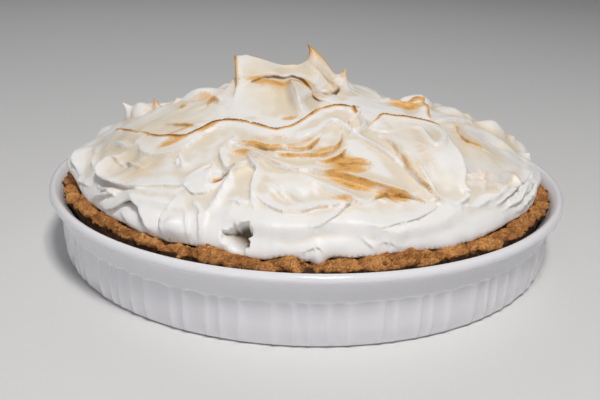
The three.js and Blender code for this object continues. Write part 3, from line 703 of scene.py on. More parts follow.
def cream_and_shade_tint(q):
    """How cream the foam is at map points: toasted cream, and painted shade in some valleys."""
    total = np.full(len(q), 0.14)
    for patch in CREAM_AND_SHADE_TINTS:
        total = over(total, patch.rise * patch.cover(q))
    return total


def dome_profile():
    """The dome's profile: radius, height and length from the top."""
    lean = np.linspace(0, math.pi / 2, PROFILE_STEPS)
    z = DOME_BASE_Z + DOME_RISE * np.maximum(np.cos(lean), 0) ** DOME_POWER
    tuck = FOOT_TUCK * np.clip((FOOT_TUCK_Z - z) / (FOOT_TUCK_Z - DOME_BASE_Z), 0, 1) ** 2
    r = DOME_R * np.sin(lean) - tuck
    length = np.concatenate([[0], np.cumsum(np.hypot(np.diff(r), np.diff(z)))])
    return r, z, length


PROFILE_R, PROFILE_Z, PROFILE_LENGTH = dome_profile()
MAP_R = PROFILE_LENGTH[-1]


def dome_frame(q):
    """The smooth dome at map points: the place, and the ways out of it, down it and round it."""
    length = np.hypot(q[:, 0], q[:, 1])
    angle = np.arctan2(q[:, 1], q[:, 0])
    r = np.interp(length, PROFILE_LENGTH, PROFILE_R)
    z = np.interp(length, PROFILE_LENGTH, PROFILE_Z)
    slope_r = np.interp(length, PROFILE_LENGTH, np.gradient(PROFILE_R, PROFILE_LENGTH))
    slope_z = np.interp(length, PROFILE_LENGTH, np.gradient(PROFILE_Z, PROFILE_LENGTH))
    cos, sin = np.cos(angle), np.sin(angle)
    base = np.stack([r * cos, r * sin, z], 1)
    normal = np.stack([-slope_z * cos, -slope_z * sin, slope_r], 1)
    along = np.stack([slope_r * cos, slope_r * sin, slope_z], 1)
    around = np.stack([-sin, cos, np.zeros(len(q))], 1)
    return base, normal, along, around


def bumps_round(degrees, bumps):
    """The sum of rounded bumps at angles round the pie: each an angle, half width and height."""
    total = np.zeros(len(degrees))
    for at, half, height in bumps:
        off = (degrees - at + 540) % 360 - 180
        total += height * np.exp(-((off / half) ** 2))
    return total


def droop(q):
    """How far the foot hangs down over the crust, mm, at map points."""
    degrees = np.degrees(np.arctan2(q[:, 1], q[:, 0]))
    low = smooth((np.hypot(q[:, 0], q[:, 1]) - MAP_R + FOOT_BAND) / FOOT_BAND)
    ring = np.column_stack([q, np.zeros(len(q))])
    return low * (bumps_round(degrees, FOOT_DROOPS) + FOOT_RIPPLE * rough(ring, FOOT_RIPPLE_SIZE, 31, 3))


def skin(q):
    """Map points to points in space, mm, with their toast and painted crease shade."""
    base, normal, along, around = dome_frame(q)
    length = np.maximum(np.hypot(q[:, 0], q[:, 1]), 1e-9)
    fade = smooth((MAP_R - length) / FOOT_FADE)[:, None]
    rise, throw, toast_and_shade = relief(q)
    outward = ((throw * q).sum(1) / length)[:, None]
    sideways = ((throw[:, 1] * q[:, 0] - throw[:, 0] * q[:, 1]) / length)[:, None]
    hang = droop(q)[:, None]
    foot = hang * (0.7 * normal + 0.8 * along)
    return base + foot + fade * (rise[:, None] * normal + outward * along + sideways * around), toast_and_shade


def map_disc(rings, radius):
    """A disc of rings with 6, 12, 18 ... points: map points and triangles."""
    points = [(0.0, 0.0)]
    starts = [0]
    for k in range(1, rings + 1):
        starts.append(len(points))
        for i in range(6 * k):
            turn = 2 * math.pi * i / (6 * k)
            points.append((radius * k / rings * math.cos(turn), radius * k / rings * math.sin(turn)))
    faces = []
    for k in range(1, rings + 1):
        inner, outer = starts[k - 1], starts[k]
        n_in, n_out = max(6 * (k - 1), 1), 6 * k
        for side in range(6):
            for i in range(k):
                a = outer + (side * k + i) % n_out
                b = outer + (side * k + i + 1) % n_out
                c = inner + (side * (k - 1) + i) % n_in
                faces.append((a, b, c))
                if i < k - 1:
                    faces.append((b, inner + (side * (k - 1) + i + 1) % n_in, c))
    return np.array(points), np.array(faces)


def face_normals(place, faces):
    """The unit normal of each triangle."""
    n = np.cross(place[faces[:, 1]] - place[faces[:, 0]], place[faces[:, 2]] - place[faces[:, 0]])
    return n / np.maximum(np.linalg.norm(n, axis=1), 1e-12)[:, None]


def refine(q, place, toast_and_shade, faces):
    """Splits the edges that are long, or that cross a crest, until the skin is fine enough."""
    for limit in BEND_LIMITS:
        pairs = np.sort(np.vstack([faces[:, (0, 1)], faces[:, (1, 2)], faces[:, (2, 0)]]), axis=1)
        edges, which = np.unique(pairs, axis=0, return_inverse=True)
        which = which.reshape(3, -1)
        normals = face_normals(place, faces)
        total = np.zeros((len(edges), 3))
        for side in range(3):
            np.add.at(total, which[side], normals)
        count = np.bincount(which.ravel(), minlength=len(edges))
        agree = np.linalg.norm(total, axis=1) / count
        bend = np.degrees(2 * np.arccos(np.clip(agree, -1, 1)))
        span = np.linalg.norm(place[edges[:, 0]] - place[edges[:, 1]], axis=1)
        contrast = abs(toast_and_shade[edges[:, 0]] - toast_and_shade[edges[:, 1]]).max(1)
        wanted = (span > LONGEST_EDGE) | ((span > SHORTEST_EDGE) & (bend > limit))
        wanted |= (span > COLOUR_CHANGE_EDGE) & (contrast > COLOUR_CHANGE_STEP)
        # a triangle's other edges bend with it
        touched = wanted[which].any(0)
        near = np.zeros(len(edges), bool)
        for side in range(3):
            near[which[side][touched]] = True
        wanted |= near & (span > 1.6 * SHORTEST_EDGE) & (bend > 0.5 * limit)
        room = (MOST_TRIANGLES - len(faces)) // 2
        if wanted.sum() > room:
            score = np.where(wanted, span * (4 + bend), -1)
            keep = np.argsort(-score)[:max(room, 0)]
            wanted = np.zeros(len(edges), bool)
            wanted[keep] = True
        if not wanted.any():
            break
        fresh = 0.5 * (q[edges[wanted, 0]] + q[edges[wanted, 1]])
        fresh_place, fresh_toast_and_shade = skin(fresh)
        middle = np.full(len(edges), -1)
        middle[wanted] = len(q) + np.arange(wanted.sum())
        q = np.vstack([q, fresh])
        place = np.vstack([place, fresh_place])
        toast_and_shade = np.vstack([toast_and_shade, fresh_toast_and_shade])
        faces = split(faces, middle[which].T)
    return q, place, toast_and_shade, faces


def split(faces, mids):
    """Divides triangles whose edges 01, 12, 20 have a middle point (-1 where they have none)."""
    marked = mids >= 0
    count = marked.sum(1)
    out = [faces[count == 0]]
    full = count == 3
    f, m = faces[full], mids[full]
    out += [np.stack(t, 1) for t in (
        (f[:, 0], m[:, 0], m[:, 2]), (m[:, 0], f[:, 1], m[:, 1]),
        (m[:, 2], m[:, 1], f[:, 2]), (m[:, 0], m[:, 1], m[:, 2]))]
    for k in range(3):
        one = (count == 1) & marked[:, k]
        f, m = np.roll(faces[one], -k, 1), np.roll(mids[one], -k, 1)
        out += [np.stack((f[:, 0], m[:, 0], f[:, 2]), 1), np.stack((m[:, 0], f[:, 1], f[:, 2]), 1)]
        two = (count == 2) & ~marked[:, k]
        f, m = np.roll(faces[two], -k, 1), np.roll(mids[two], -k, 1)
        out += [np.stack((f[:, 0], f[:, 1], m[:, 1]), 1), np.stack((f[:, 0], m[:, 1], m[:, 2]), 1),
                np.stack((m[:, 2], m[:, 1], f[:, 2]), 1)]
    return np.vstack(out)


def stand(name, data):
    """A new object with this data, in the scene."""
    made = bpy.data.objects.new(name, data)
    bpy.context.scene.collection.objects.link(made)
    return made


def new_mesh(name, points_mm, faces):
    """A mesh object from points in mm and lists of faces."""
    mesh = bpy.data.meshes.new(name)
    mesh.from_pydata((np.asarray(points_mm) * MM).tolist(), [], [tuple(map(int, f)) for f in faces])
    mesh.validate()
    mesh.update()
    mesh.shade_smooth()
    return stand(name, mesh)


def paint(obj, name, values):
    """Stores one number for each vertex, for the material to read."""
    layer = obj.data.attributes.new(name, "FLOAT", "POINT")
    layer.data.foreach_set("value", np.asarray(values, np.float32))


def lathe(profile, steps):
    """Rings of a profile of (radius, height) rows, counter-clockwise."""
    turn = 2 * np.pi * np.arange(steps) / steps
    r = profile[:, 0][:, None]
    z = np.broadcast_to(profile[:, 1][:, None], (len(profile), steps))
    return np.stack([r * np.cos(turn), r * np.sin(turn), z], 2)


def closed_rings(name, place, low, high):
    """A mesh of rings of points, closed by a fan to a middle point below and one above."""
    rings, steps = place.shape[:2]
    count = rings * steps
    faces = []
    for start in range(0, count - steps, steps):
        for i in range(steps):
            j = (i + 1) % steps
            faces.append((start + i, start + j, start + steps + j, start + steps + i))
    for i in range(steps):
        j = (i + 1) % steps
        faces.append((j, i, count))
        faces.append((count - steps + i, count - steps + j, count + 1))
    return new_mesh(name, np.vstack([place.reshape(-1, 3), [(0, 0, low)], [(0, 0, high)]]), faces)


# Dish.
def flute_share():
    """Angles round the dish and, for each, how deep in its flute it lies: 0 on a ridge."""
    widths = np.array(FLUTE_WIDTHS) * (360 / FLUTE_REPEATS) / sum(FLUTE_WIDTHS)
    angles, depths = [], []
    at = FLUTE_START
    for _ in range(FLUTE_REPEATS):
        for width in widths:
            for k in range(FLUTE_STEPS):
                u = k / FLUTE_STEPS
                angles.append(at + width * u)
                depths.append((4 * u * (1 - u)) ** 0.7)
            at += width
    return np.radians(angles), np.array(depths)


def dish_profile():
    """The dish's section from under the middle, out, up, over the rim and in to the middle."""
    bead_r = RIM_R - RIM_BEAD
    bead = [(bead_r + RIM_BEAD * math.cos(t), RIM_BEAD_Z + RIM_BEAD * math.sin(t))
            for t in map(math.radians, range(-100, 141, 12))]
    # the fluted wall's heights: its radii are set where the flutes are cut
    body = [(BAND_R, z) for z in np.linspace(HEEL_Z + 0.9, FLUTE_TOP_Z - FLUTE_ARCH - 0.2, 9)]
    arch = [(BAND_R, z) for z in np.linspace(FLUTE_TOP_Z - FLUTE_ARCH, FLUTE_TOP_Z + 0.4, 9)]
    inside = [(129.4, 35.0), (128.2, 33.6), (127.0, 32.0), (125.6, 30.0), (124.6, 28.0),
              (124.0, 26.0), (123.8, 24.0), (122.8, 12.0), (122.4, 9.0), (121.2, 6.6), (119.0, FLOOR_Z)]
    return np.array(
        [(0.5, UNDER_RECESS), (60, UNDER_RECESS), (FOOT_IN - 1.4, UNDER_RECESS), (FOOT_IN - 0.5, 0.7),
         (FOOT_IN, 0.0), (FOOT_OUT - 0.8, 0.0), (FOOT_OUT + 0.6, 0.15), (125.6, 0.7),
         (HEEL_R - 0.25, 1.6), (HEEL_R, HEEL_Z)]
        + body + arch
        + [(BAND_R + 0.1, 24.4), (BAND_R + 0.1, 26.5), (BAND_R + 0.15, 28.6), (BAND_R + 0.3, BAND_TOP_Z),
           (BAND_R + 0.9, 31.3)]
        + bead + inside + [(60, FLOOR_Z), (0.5, FLOOR_Z)])


def build_dish():
    """The dish: its section turned round, with the flutes cut into the wall."""
    angles, depth = flute_share()
    profile = dish_profile()
    z = profile[:, 1]
    outer = np.arange(len(z)) < np.argmax(profile[:, 0])
    # each flute ends in a low arch, highest at its middle
    crown = FLUTE_TOP_Z - FLUTE_ARCH * (1 - depth) ** 1.5
    reach = smooth((crown[None, :] - z[:, None]) / 1.3) * smooth((z[:, None] - 0.2) / 2.4)
    hollow = depth[None, :] * reach * outer[:, None]
    wall = profile[:, 0].copy()
    body = outer & (z > HEEL_Z - 1.0) & (z < FLUTE_TOP_Z + 1)
    wall[body] = HEEL_R + (BAND_R - HEEL_R) * smooth((z[body] - HEEL_Z + 1.2) / 8) ** 0.6
    radius = wall[:, None] - FLUTE_DEPTH * hollow
    place = np.stack([radius * np.cos(angles), radius * np.sin(angles),
                      np.broadcast_to(z[:, None], radius.shape)], 2)
    made = closed_rings("dish_glazed", place, UNDER_RECESS, FLOOR_Z)
    paint(made, "hollow", np.append(hollow, [0, 0]))
    return made


# Crust.
def crumbs_of(points, size, seed):
    """Rounded granules: 1 in the middle of a grain, 0 in the seams between grains."""
    shift = Vector((seed * 3.7, seed * 8.9, seed * 1.3))
    out = np.empty(len(points))
    for i, p in enumerate(points / size):
        gaps = noise.voronoi(Vector(p) + shift)[0]
        out[i] = min((gaps[1] - gaps[0]) * 2.2, 1.0)
    return out


def profile_normals(profile):
    """The outward normals along a profile of (radius, height) rows."""
    tangent = np.gradient(profile, axis=0)
    normal = np.stack([tangent[:, 1], -tangent[:, 0]], 1)
    return normal / np.linalg.norm(normal, axis=1)[:, None]


def build_crust():
    """The crumb shell: its lip turned round, lumpy and grained, cracked and heaved on top."""
    profile = np.column_stack([np.array(CRUST_PROFILE), np.zeros(len(CRUST_PROFILE))])
    profile = smooth_line(profile, 3)[:, :2]
    points = lathe(profile, CRUST_STEPS).reshape(-1, 3)
    plan = np.column_stack([points[:, :2], np.zeros(len(points))])
    turn = np.arctan2(points[:, 1], points[:, 0])
    degrees = np.degrees(turn)
    along = np.repeat(np.linspace(0, 1, len(profile)), CRUST_STEPS)
    normal = np.repeat(profile_normals(profile), CRUST_STEPS, axis=0)
    top = smooth((along - 0.08) / 0.25)
    grain = crumbs_of(points, CRUST_GRAIN, 12)
    clump = crumbs_of(points, CRUST_CLUMP, 13) ** 0.45
    rise = top * (LUMP_RISE * rough(points, CRUST_LUMP, 11, 3) + GRAIN_RISE * (grain - 0.5)
                  + CLUMP_RISE * (clump - 0.9) + FINE_RISE * rough(points, CRUST_FINE, 14, 2))
    wander = EDGE_WANDER * rough(plan, EDGE_SIZE, 15, 3) * smooth((0.75 - along) / 0.4)
    pull = bumps_round(degrees, CRUST_PULLS) * smooth((0.6 - along) / 0.4)
    radial = normal[:, 0] * rise + top * (wander - pull)
    heave = bumps_round(degrees, CRUST_MARKS) + TOP_HEAVE * rough(plan, HEAVE_SIZE, 16, 3)
    lift = normal[:, 1] * rise + top * heave * smooth((along - 0.25) / 0.3)
    place = points + np.stack([radial * np.cos(turn), radial * np.sin(turn), lift], 1)
    place = place.reshape(len(profile), CRUST_STEPS, 3)
    made = closed_rings("crust_baked", place, CRUST_UNDER_Z, CRUST_TOP_Z)
    paint(made, "grain", np.append(grain * clump, [0.5, 0.5]))
    return made


# Meringue.
def sunken(place, faces):
    """How far each vertex lies below the smoothed skin, mm: above 0 in the hollows."""
    pairs = np.vstack([faces[:, (0, 1)], faces[:, (1, 2)], faces[:, (2, 0)]])
    pairs = np.unique(np.sort(pairs, axis=1), axis=0)
    count = np.bincount(pairs.ravel(), minlength=len(place))[:, None]
    smoothed = place.copy()
    for _ in range(SMOOTHINGS):
        total = np.zeros_like(place)
        np.add.at(total, pairs[:, 0], smoothed[pairs[:, 1]])
        np.add.at(total, pairs[:, 1], smoothed[pairs[:, 0]])
        smoothed = 0.3 * smoothed + 0.7 * total / count
    normals = np.zeros_like(place)
    flat = face_normals(place, faces)
    for corner in range(3):
        np.add.at(normals, faces[:, corner], flat)
    normals /= np.maximum(np.linalg.norm(normals, axis=1), 1e-9)[:, None]
    return ((smoothed - place) * normals).sum(1)


def close_under(q, place, faces):
    """The skin's points and triangles with those that turn it in under its foot and close it."""
    border = np.nonzero(np.hypot(q[:, 0], q[:, 1]) > MAP_R - 1e-4)[0]
    border = border[np.argsort(np.arctan2(q[border, 1], q[border, 0]))]
    turn = np.arctan2(q[border, 1], q[border, 0])
    steps = len(border)
    count = len(place)
    rings = [np.stack([r * np.cos(turn), r * np.sin(turn), np.full(steps, z)], 1)
             for r, z in UNDER_RINGS]
    extra = []
    for i in range(steps):
        j = (i + 1) % steps
        a, b = border[i], border[j]
        c, d = count + i, count + j
        e, f = c + steps, d + steps
        extra += [(b, a, c), (b, c, d), (d, c, e), (d, e, f), (f, e, count + 2 * steps)]
    return np.vstack([place] + rings + [[(0, 0, UNDER_Z)]]), np.vstack([faces, extra])


def build_meringue():
    """The swirled foam: the dome's skin with its folds, split fine, and closed underneath."""
    settle()
    q, faces = map_disc(DOME_RINGS, MAP_R)
    place, toast_and_shade = skin(q)
    q, place, toast_and_shade, faces = refine(q, place, toast_and_shade, faces)
    # The marks the material reads: browning, painted shade in the creases, the hollows and the torn pocket,
    # and cream tints that are partly painted shade.
    marks = {"toast": toast_and_shade[:, 0], "crease_shade": toast_and_shade[:, 1], "cream_and_shade": cream_and_shade_tint(q),
             "hollow": sunken(place, faces), "pocket_shade": pocket(q)}
    place, faces = close_under(q, place, faces)
    made = new_mesh("meringue_swirled", place, faces)
    hidden = np.zeros(len(place) - len(q))
    for name, values in marks.items():
        paint(made, name, np.append(values, hidden))
    return made


# Materials.
class Num:
    """A number socket; arithmetic on it adds Math nodes to its material."""

    def __init__(self, sheet, socket):
        self.sheet = sheet
        self.socket = socket

    def math(self, operation, first, second):
        made = self.sheet.add("ShaderNodeMath", {"operation": operation}, {0: first, 1: second})
        return Num(self.sheet, made.outputs[0])

    def __add__(self, other):
        return self.math("ADD", self, other)

    def __radd__(self, other):
        return self.math("ADD", other, self)

    def __sub__(self, other):
        return self.math("SUBTRACT", self, other)

    def __rsub__(self, other):
        return self.math("SUBTRACT", other, self)

    def __mul__(self, other):
        return self.math("MULTIPLY", self, other)

    def __rmul__(self, other):
        return self.math("MULTIPLY", other, self)

    def clamped(self):
        """The number kept between 0 and 1."""
        made = self.sheet.add("ShaderNodeClamp", {}, {"Value": self})
        return Num(self.sheet, made.outputs[0])

    def between(self, low, high):
        """0 below low, 1 above high, a smooth step between them."""
        made = self.sheet.add("ShaderNodeMapRange", {"interpolation_type": "SMOOTHSTEP"},
                              {"Value": self, "From Min": low, "From Max": high})
        return Num(self.sheet, made.outputs[0])


class Sheet:
    """One material and its nodes."""

    def __init__(self, name):
        self.material = bpy.data.materials.new(name)
        self.material.use_nodes = True
        self.tree = self.material.node_tree
        self.shader = next(n for n in self.tree.nodes if n.type == "BSDF_PRINCIPLED")

    def add(self, kind, settings, inputs):
        """A node of this kind: its settings first, then its sockets' values or links."""
        node = self.tree.nodes.new(kind)
        for key, value in settings.items():
            setattr(node, key, value)
        for key, value in inputs.items():
            self.feed(node.inputs[key], value)
        return node

    def feed(self, socket, value):
        """Links a socket to a number or another socket, or sets its value."""
        if isinstance(value, Num):
            self.tree.links.new(value.socket, socket)
        elif isinstance(value, bpy.types.NodeSocket):
            self.tree.links.new(value, socket)
        else:
            socket.default_value = value

    def place(self):
        """The piece's own coordinates, metres."""
        return self.add("ShaderNodeTexCoord", {}, {}).outputs["Object"]

    def height(self, vector):
        """The upward part of a vector."""
        return Num(self, self.add("ShaderNodeSeparateXYZ", {}, {0: vector}).outputs["Z"])

    def attribute(self, name):
        """A number painted on the mesh."""
        return Num(self, self.add("ShaderNodeAttribute", {"attribute_name": name}, {}).outputs["Fac"])

    def grain(self, size, detail=2.0, roughness=0.5):
        """Cloudy noise from 0 to 1 with features of this size in mm."""
        node = self.add("ShaderNodeTexNoise", {}, {
            "Vector": self.place(), "Scale": 1 / (size * MM), "Detail": detail, "Roughness": roughness})
        return Num(self, node.outputs["Fac"])

    def cells(self, size):
        """Distance from the middles of scattered cells of this size in mm."""
        node = self.add("ShaderNodeTexVoronoi", {}, {"Vector": self.place(), "Scale": 1 / (size * MM)})
        return Num(self, node.outputs["Distance"])

    def mix(self, factor, low, high):
        """A colour between two colours."""
        node = self.add("ShaderNodeMix", {"data_type": "RGBA"}, {"Factor": factor})
        self.feed(node.inputs[6], low)
        self.feed(node.inputs[7], high)
        return node.outputs[2]

    def bump(self, height, strength, distance):
        """A normal from a height, raised by a distance in mm."""
        node = self.add("ShaderNodeBump", {}, {
            "Height": height, "Strength": strength, "Distance": distance * MM})
        return node.outputs["Normal"]

    def surface(self, **values):
        """Feeds the shader's sockets: names with underscores for spaces."""
        for key, value in values.items():
            self.feed(self.shader.inputs[key.replace("_", " ")], value)
        return self.material


def glaze():
    """White tin glaze: glossy, a little darker and bluer where it pools in the flutes."""
    sheet = Sheet("white_glaze")
    pool = sheet.attribute("hollow") * (0.35 + 0.3 * sheet.grain(14))
    colour = sheet.mix(pool, (0.85, 0.838, 0.87, 1), (0.74, 0.728, 0.77, 1))
    speck = sheet.cells(2.6).between(0.10, 0.05) * sheet.grain(9).between(0.58, 0.66)
    colour = sheet.mix(0.25 * speck, colour, (0.55, 0.52, 0.5, 1))
    gloss = 0.10 + 0.10 * sheet.grain(22, 3.0)
    normal = sheet.bump(sheet.grain(7.0, 1.0), 0.10, 0.5)
    return sheet.surface(Base_Color=colour, Roughness=gloss, Normal=normal, IOR=1.5,
                         Coat_Weight=0.4, Coat_Roughness=0.04)


def baked_crumb():
    """Brown crumb: golden on the grains' tops, dark in the seams between them, with painted shade near black
    below the rim.
    """
    sheet = Sheet("baked_crumb")
    grain = sheet.attribute("grain")
    patch = sheet.grain(9.0, 3.0)
    fleck = sheet.grain(0.8, 2.0, 0.7)
    colour = sheet.mix(patch.between(0.3, 0.7), (0.38, 0.148, 0.040, 1), (0.60, 0.275, 0.084, 1))
    colour = sheet.mix(0.65 * grain.between(0.26, 0.03), colour, (0.11, 0.038, 0.011, 1))
    dark = sheet.grain(2.6, 3.0, 0.6).between(0.48, 0.36)
    colour = sheet.mix(0.45 * dark, colour, (0.17, 0.062, 0.018, 1))
    golden = fleck.between(0.51, 0.63) * grain.between(0.2, 0.7)
    colour = sheet.mix(0.8 * golden, colour, (0.84, 0.50, 0.17, 1))
    # below the rim the shell is painted near black: painted shade in the gap between crust and dish
    level = sheet.height(sheet.place())
    colour = sheet.mix(0.92 * level.between(0.0350, 0.0336), colour, (0.022, 0.010, 0.005, 1))
    height = 0.6 * fleck + 0.4 * sheet.cells(1.0)
    normal = sheet.bump(height, 1.0, 0.6)
    return sheet.surface(Base_Color=colour, Roughness=0.78, Normal=normal, Specular_IOR_Level=0.25)


def baked_meringue():
    """Egg-white foam: white and satin, cream where it faced the heat, brown on its ridges, with painted
    shade in its hollows, creases and torn pocket and a painted highlight on its crests.
    """
    sheet = Sheet("baked_meringue")
    toast = sheet.attribute("toast")
    facing = sheet.height(sheet.add("ShaderNodeNewGeometry", {}, {}).outputs["Normal"])
    level = sheet.height(sheet.place())
    speckle = sheet.grain(0.9, 2.0, 0.7)
    cloud = sheet.grain(16.0, 3.0)
    brown = (toast * (0.55 + 0.9 * speckle)).clamped()
    warm = sheet.attribute("cream_and_shade") * level.between(0.040, 0.056) * facing.between(0.05, 0.75)
    hollow = sheet.attribute("hollow")
    # the crests get less cream, a painted highlight
    warm = warm * (0.55 + 0.9 * cloud) * (1 - 0.6 * (-1 * hollow).between(0.05, 0.6))
    colour = sheet.mix(warm.clamped(), (0.90, 0.885, 0.875, 1), (0.83, 0.725, 0.57, 1))
    # painted shade in the hollows, stronger higher up the dome
    deep = 0.72 * hollow.between(0.02, 0.50) * (0.35 + 0.65 * level.between(0.042, 0.064))
    colour = sheet.mix(deep, colour, (0.74, 0.62, 0.45, 1))
    colour = sheet.mix(brown.between(0.05, 0.50), colour, (0.78, 0.44, 0.135, 1))
    colour = sheet.mix(brown.between(0.50, 0.95), colour, (0.46, 0.19, 0.036, 1))
    colour = sheet.mix(brown.between(0.80, 1.08), colour, (0.13, 0.045, 0.015, 1))
    freckle = sheet.cells(1.2).between(0.26, 0.12) * toast.between(0.05, 0.22) * cloud.between(0.3, 0.6)
    colour = sheet.mix(0.75 * freckle, colour, (0.42, 0.20, 0.05, 1))
    # painted shade in the creases under the folds' lips
    colour = sheet.mix(sheet.attribute("crease_shade").between(0.12, 0.85), colour, (0.17, 0.10, 0.045, 1))
    # painted shade inside the torn pocket
    colour = sheet.mix(sheet.attribute("pocket_shade").between(0.15, 0.75), colour, (0.26, 0.205, 0.15, 1))
    foam = sheet.grain(0.7, 2.0) * 0.5 + sheet.grain(3.2, 2.0) * 0.5
    normal = sheet.bump(foam, 0.16, 0.5)
    gloss = 0.36 + 0.2 * sheet.grain(5.0)
    return sheet.surface(Base_Color=colour, Roughness=gloss, Normal=normal,
                         Subsurface_Weight=0.12, Subsurface_Radius=(1.0, 0.85, 0.7),
                         Subsurface_Scale=0.002)


# Loose crumbs, scattered over the crust: for each square metre, and their radii in metres.
CRUMB_SETTINGS = {"Density": 26000.0, "Smallest": 0.00035, "Largest": 0.0012, "Seed": 5}


def crumb_tree(material):
    """Geometry nodes that strew small irregular crumbs over a surface."""
    tree = bpy.data.node_groups.new("strewn_crumbs", "GeometryNodeTree")
    face = tree.interface
    face.new_socket("Geometry", in_out="INPUT", socket_type="NodeSocketGeometry")
    for name in ("Density", "Smallest", "Largest"):
        face.new_socket(name, in_out="INPUT", socket_type="NodeSocketFloat")
    face.new_socket("Seed", in_out="INPUT", socket_type="NodeSocketInt")
    face.new_socket("Geometry", in_out="OUTPUT", socket_type="NodeSocketGeometry")

    def add(kind, settings, inputs):
        """A node of this kind: its settings first, then its sockets' values or links."""
        node = tree.nodes.new(kind)
        for key, value in settings.items():
            setattr(node, key, value)
        for key, value in inputs.items():
            if isinstance(value, bpy.types.NodeSocket):
                tree.links.new(value, node.inputs[key])
            else:
                node.inputs[key].default_value = value
        return node

    given = add("NodeGroupInput", {}, {}).outputs
    spots = add("GeometryNodeDistributePointsOnFaces", {}, {
        "Mesh": given["Geometry"], "Density": given["Density"], "Seed": given["Seed"],
        "Selection": add("GeometryNodeInputNamedAttribute", {"data_type": "FLOAT"},
                         {"Name": "strewn"}).outputs["Attribute"]})
    ball = add("GeometryNodeMeshIcoSphere", {}, {"Radius": 1.0, "Subdivisions": 2})
    wobble = add("ShaderNodeTexNoise", {}, {"Scale": 1.4, "Detail": 1.0})
    shift = add("ShaderNodeVectorMath", {"operation": "SUBTRACT"},
                {0: wobble.outputs["Color"], 1: (0.5, 0.5, 0.5)})
    push = add("ShaderNodeVectorMath", {"operation": "SCALE"}, {0: shift.outputs[0], "Scale": 1.3})
    lump = add("GeometryNodeSetPosition", {}, {"Geometry": ball.outputs["Mesh"], "Offset": push.outputs[0]})
    turn = add("FunctionNodeRandomValue", {"data_type": "FLOAT_VECTOR"},
               {"Max": (6.28, 6.28, 6.28), "Seed": given["Seed"]})
    size = add("FunctionNodeRandomValue", {"data_type": "FLOAT"},
               {"Min": given["Smallest"], "Max": given["Largest"], "Seed": given["Seed"]})
    strewn = add("GeometryNodeInstanceOnPoints", {}, {
        "Points": spots.outputs["Points"], "Instance": lump.outputs["Geometry"],
        "Rotation": turn.outputs[0], "Scale": [s for s in size.outputs if s.type == "VALUE"][0]})
    real = add("GeometryNodeRealizeInstances", {}, {"Geometry": strewn.outputs["Instances"]})
    done = add("GeometryNodeSetMaterial", {}, {"Geometry": real.outputs["Geometry"], "Material": material})
    add("NodeGroupOutput", {}, {"Geometry": done.outputs["Geometry"]})
    return tree


def strew_crumbs(crust, material):
    """Loose crumbs along the crust's top, as a plain mesh."""
    ground = stand("ground", crust.data.copy())
    place = np.array([v.co.to_tuple() for v in ground.data.vertices]) / MM
    shown = (place[:, 2] > CRUMBS_FROM_Z) & (np.hypot(place[:, 0], place[:, 1]) > CRUMBS_FROM_R)
    paint(ground, "strewn", shown.astype(float))
    modifier = ground.modifiers.new("crumbs", "NODES")
    tree = crumb_tree(material)
    modifier.node_group = tree
    for socket in tree.interface.items_tree:
        if socket.name in CRUMB_SETTINGS:
            modifier[socket.identifier] = CRUMB_SETTINGS[socket.name]
    bpy.context.view_layer.update()
    evaluated = ground.evaluated_get(bpy.context.evaluated_depsgraph_get())
    mesh = bpy.data.meshes.new_from_object(evaluated)
    mesh.name = "crust_crumbs"
    made = stand("crust_crumbs", mesh)
    bpy.data.objects.remove(ground)
    mesh.shade_smooth()
    paint(made, "grain", np.full(len(mesh.vertices), 0.8))
    return made


# Stage, light and camera.
def build_stage():
    """A pale floor, far larger than the picture."""
    floor = bpy.data.meshes.new("floor")
    half = 8.0
    corners = [(-half, -half, 0), (half, -half, 0), (half, half, 0), (-half, half, 0)]
    floor.from_pydata(corners, [], [(0, 1, 2, 3)])
    made = stand("floor", floor)
    sheet = Sheet("pale_floor")
    tone = sheet.grain(900.0)
    colour = sheet.mix(tone, (0.74, 0.735, 0.73, 1), (0.77, 0.765, 0.76, 1))
    floor.materials.append(sheet.surface(Base_Color=colour, Roughness=0.6))


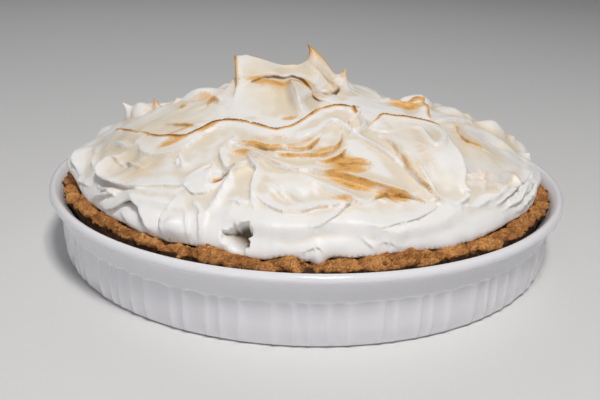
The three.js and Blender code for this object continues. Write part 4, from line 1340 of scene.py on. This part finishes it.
def soft_light(name, place, aim, size, power, colour=(1, 1, 1)):
    """A rectangular light at a place, turned to its aim."""
    data = bpy.data.lights.new(name, "AREA")
    data.shape = "RECTANGLE"
    data.size, data.size_y = size
    data.energy = power
    data.color = colour
    made = stand(name, data)
    made.location = place
    made.rotation_euler = (Vector(aim) - Vector(place)).to_track_quat("-Z", "Y").to_euler()


def build_lights():
    """A small key light high in front, a wide fill low in front, one behind, and a dim room."""
    soft_light("key", (0.15, -0.60, 1.15), (0, 0, 0.05), (0.24, 0.24), 10.6, (1.0, 0.985, 0.96))
    soft_light("fill", (-0.5, -1.2, 0.45), (0, 0, 0.05), (0.9, 0.6), 1.8, (0.95, 0.97, 1.0))
    soft_light("back", (-0.3, 1.1, 0.9), (0, 0, 0.06), (0.9, 0.5), 1.5)
    world = bpy.data.worlds.new("studio")
    world.use_nodes = True
    room = world.node_tree.nodes["Background"].inputs
    room["Color"].default_value = (0.82, 0.84, 0.88, 1)
    room["Strength"].default_value = 0.19
    bpy.context.scene.world = world


def build_camera():
    """The photo's camera."""
    data = bpy.data.cameras.new("camera")
    data.sensor_width = SENSOR_WIDTH
    data.lens = FOCAL_PIXELS * SENSOR_WIDTH / IMAGE_WIDTH
    made = stand("camera", data)
    turn = Matrix((CAMERA_RIGHT, CAMERA_UP, CAMERA_BACK)).transposed()
    made.matrix_world = Matrix.Translation(CAMERA_PLACE) @ turn.to_4x4()
    bpy.context.scene.camera = made


def finish_piece(piece, material, slot, *nodes):
    """Dresses a piece, hangs it on the pie's one body and hides the CAD parts of these nodes."""
    if material is not None:
        piece.data.materials.append(material)
    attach(piece, "root")
    if nodes:
        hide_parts(*nodes)


build_camera()
build_stage()
build_lights()
bpy.context.scene.view_settings.view_transform = "Standard"

dish = build_dish()
finish_piece(dish, glaze(), "dish_glaze", "dish")

crumb = baked_crumb()
crust = build_crust()
crumbs = strew_crumbs(crust, crumb)
finish_piece(crust, crumb, "baked_crumb", "crust")
finish_piece(crumbs, None, "baked_crumb")

meringue = build_meringue()
finish_piece(meringue, baked_meringue(), "baked_meringue", "meringue")
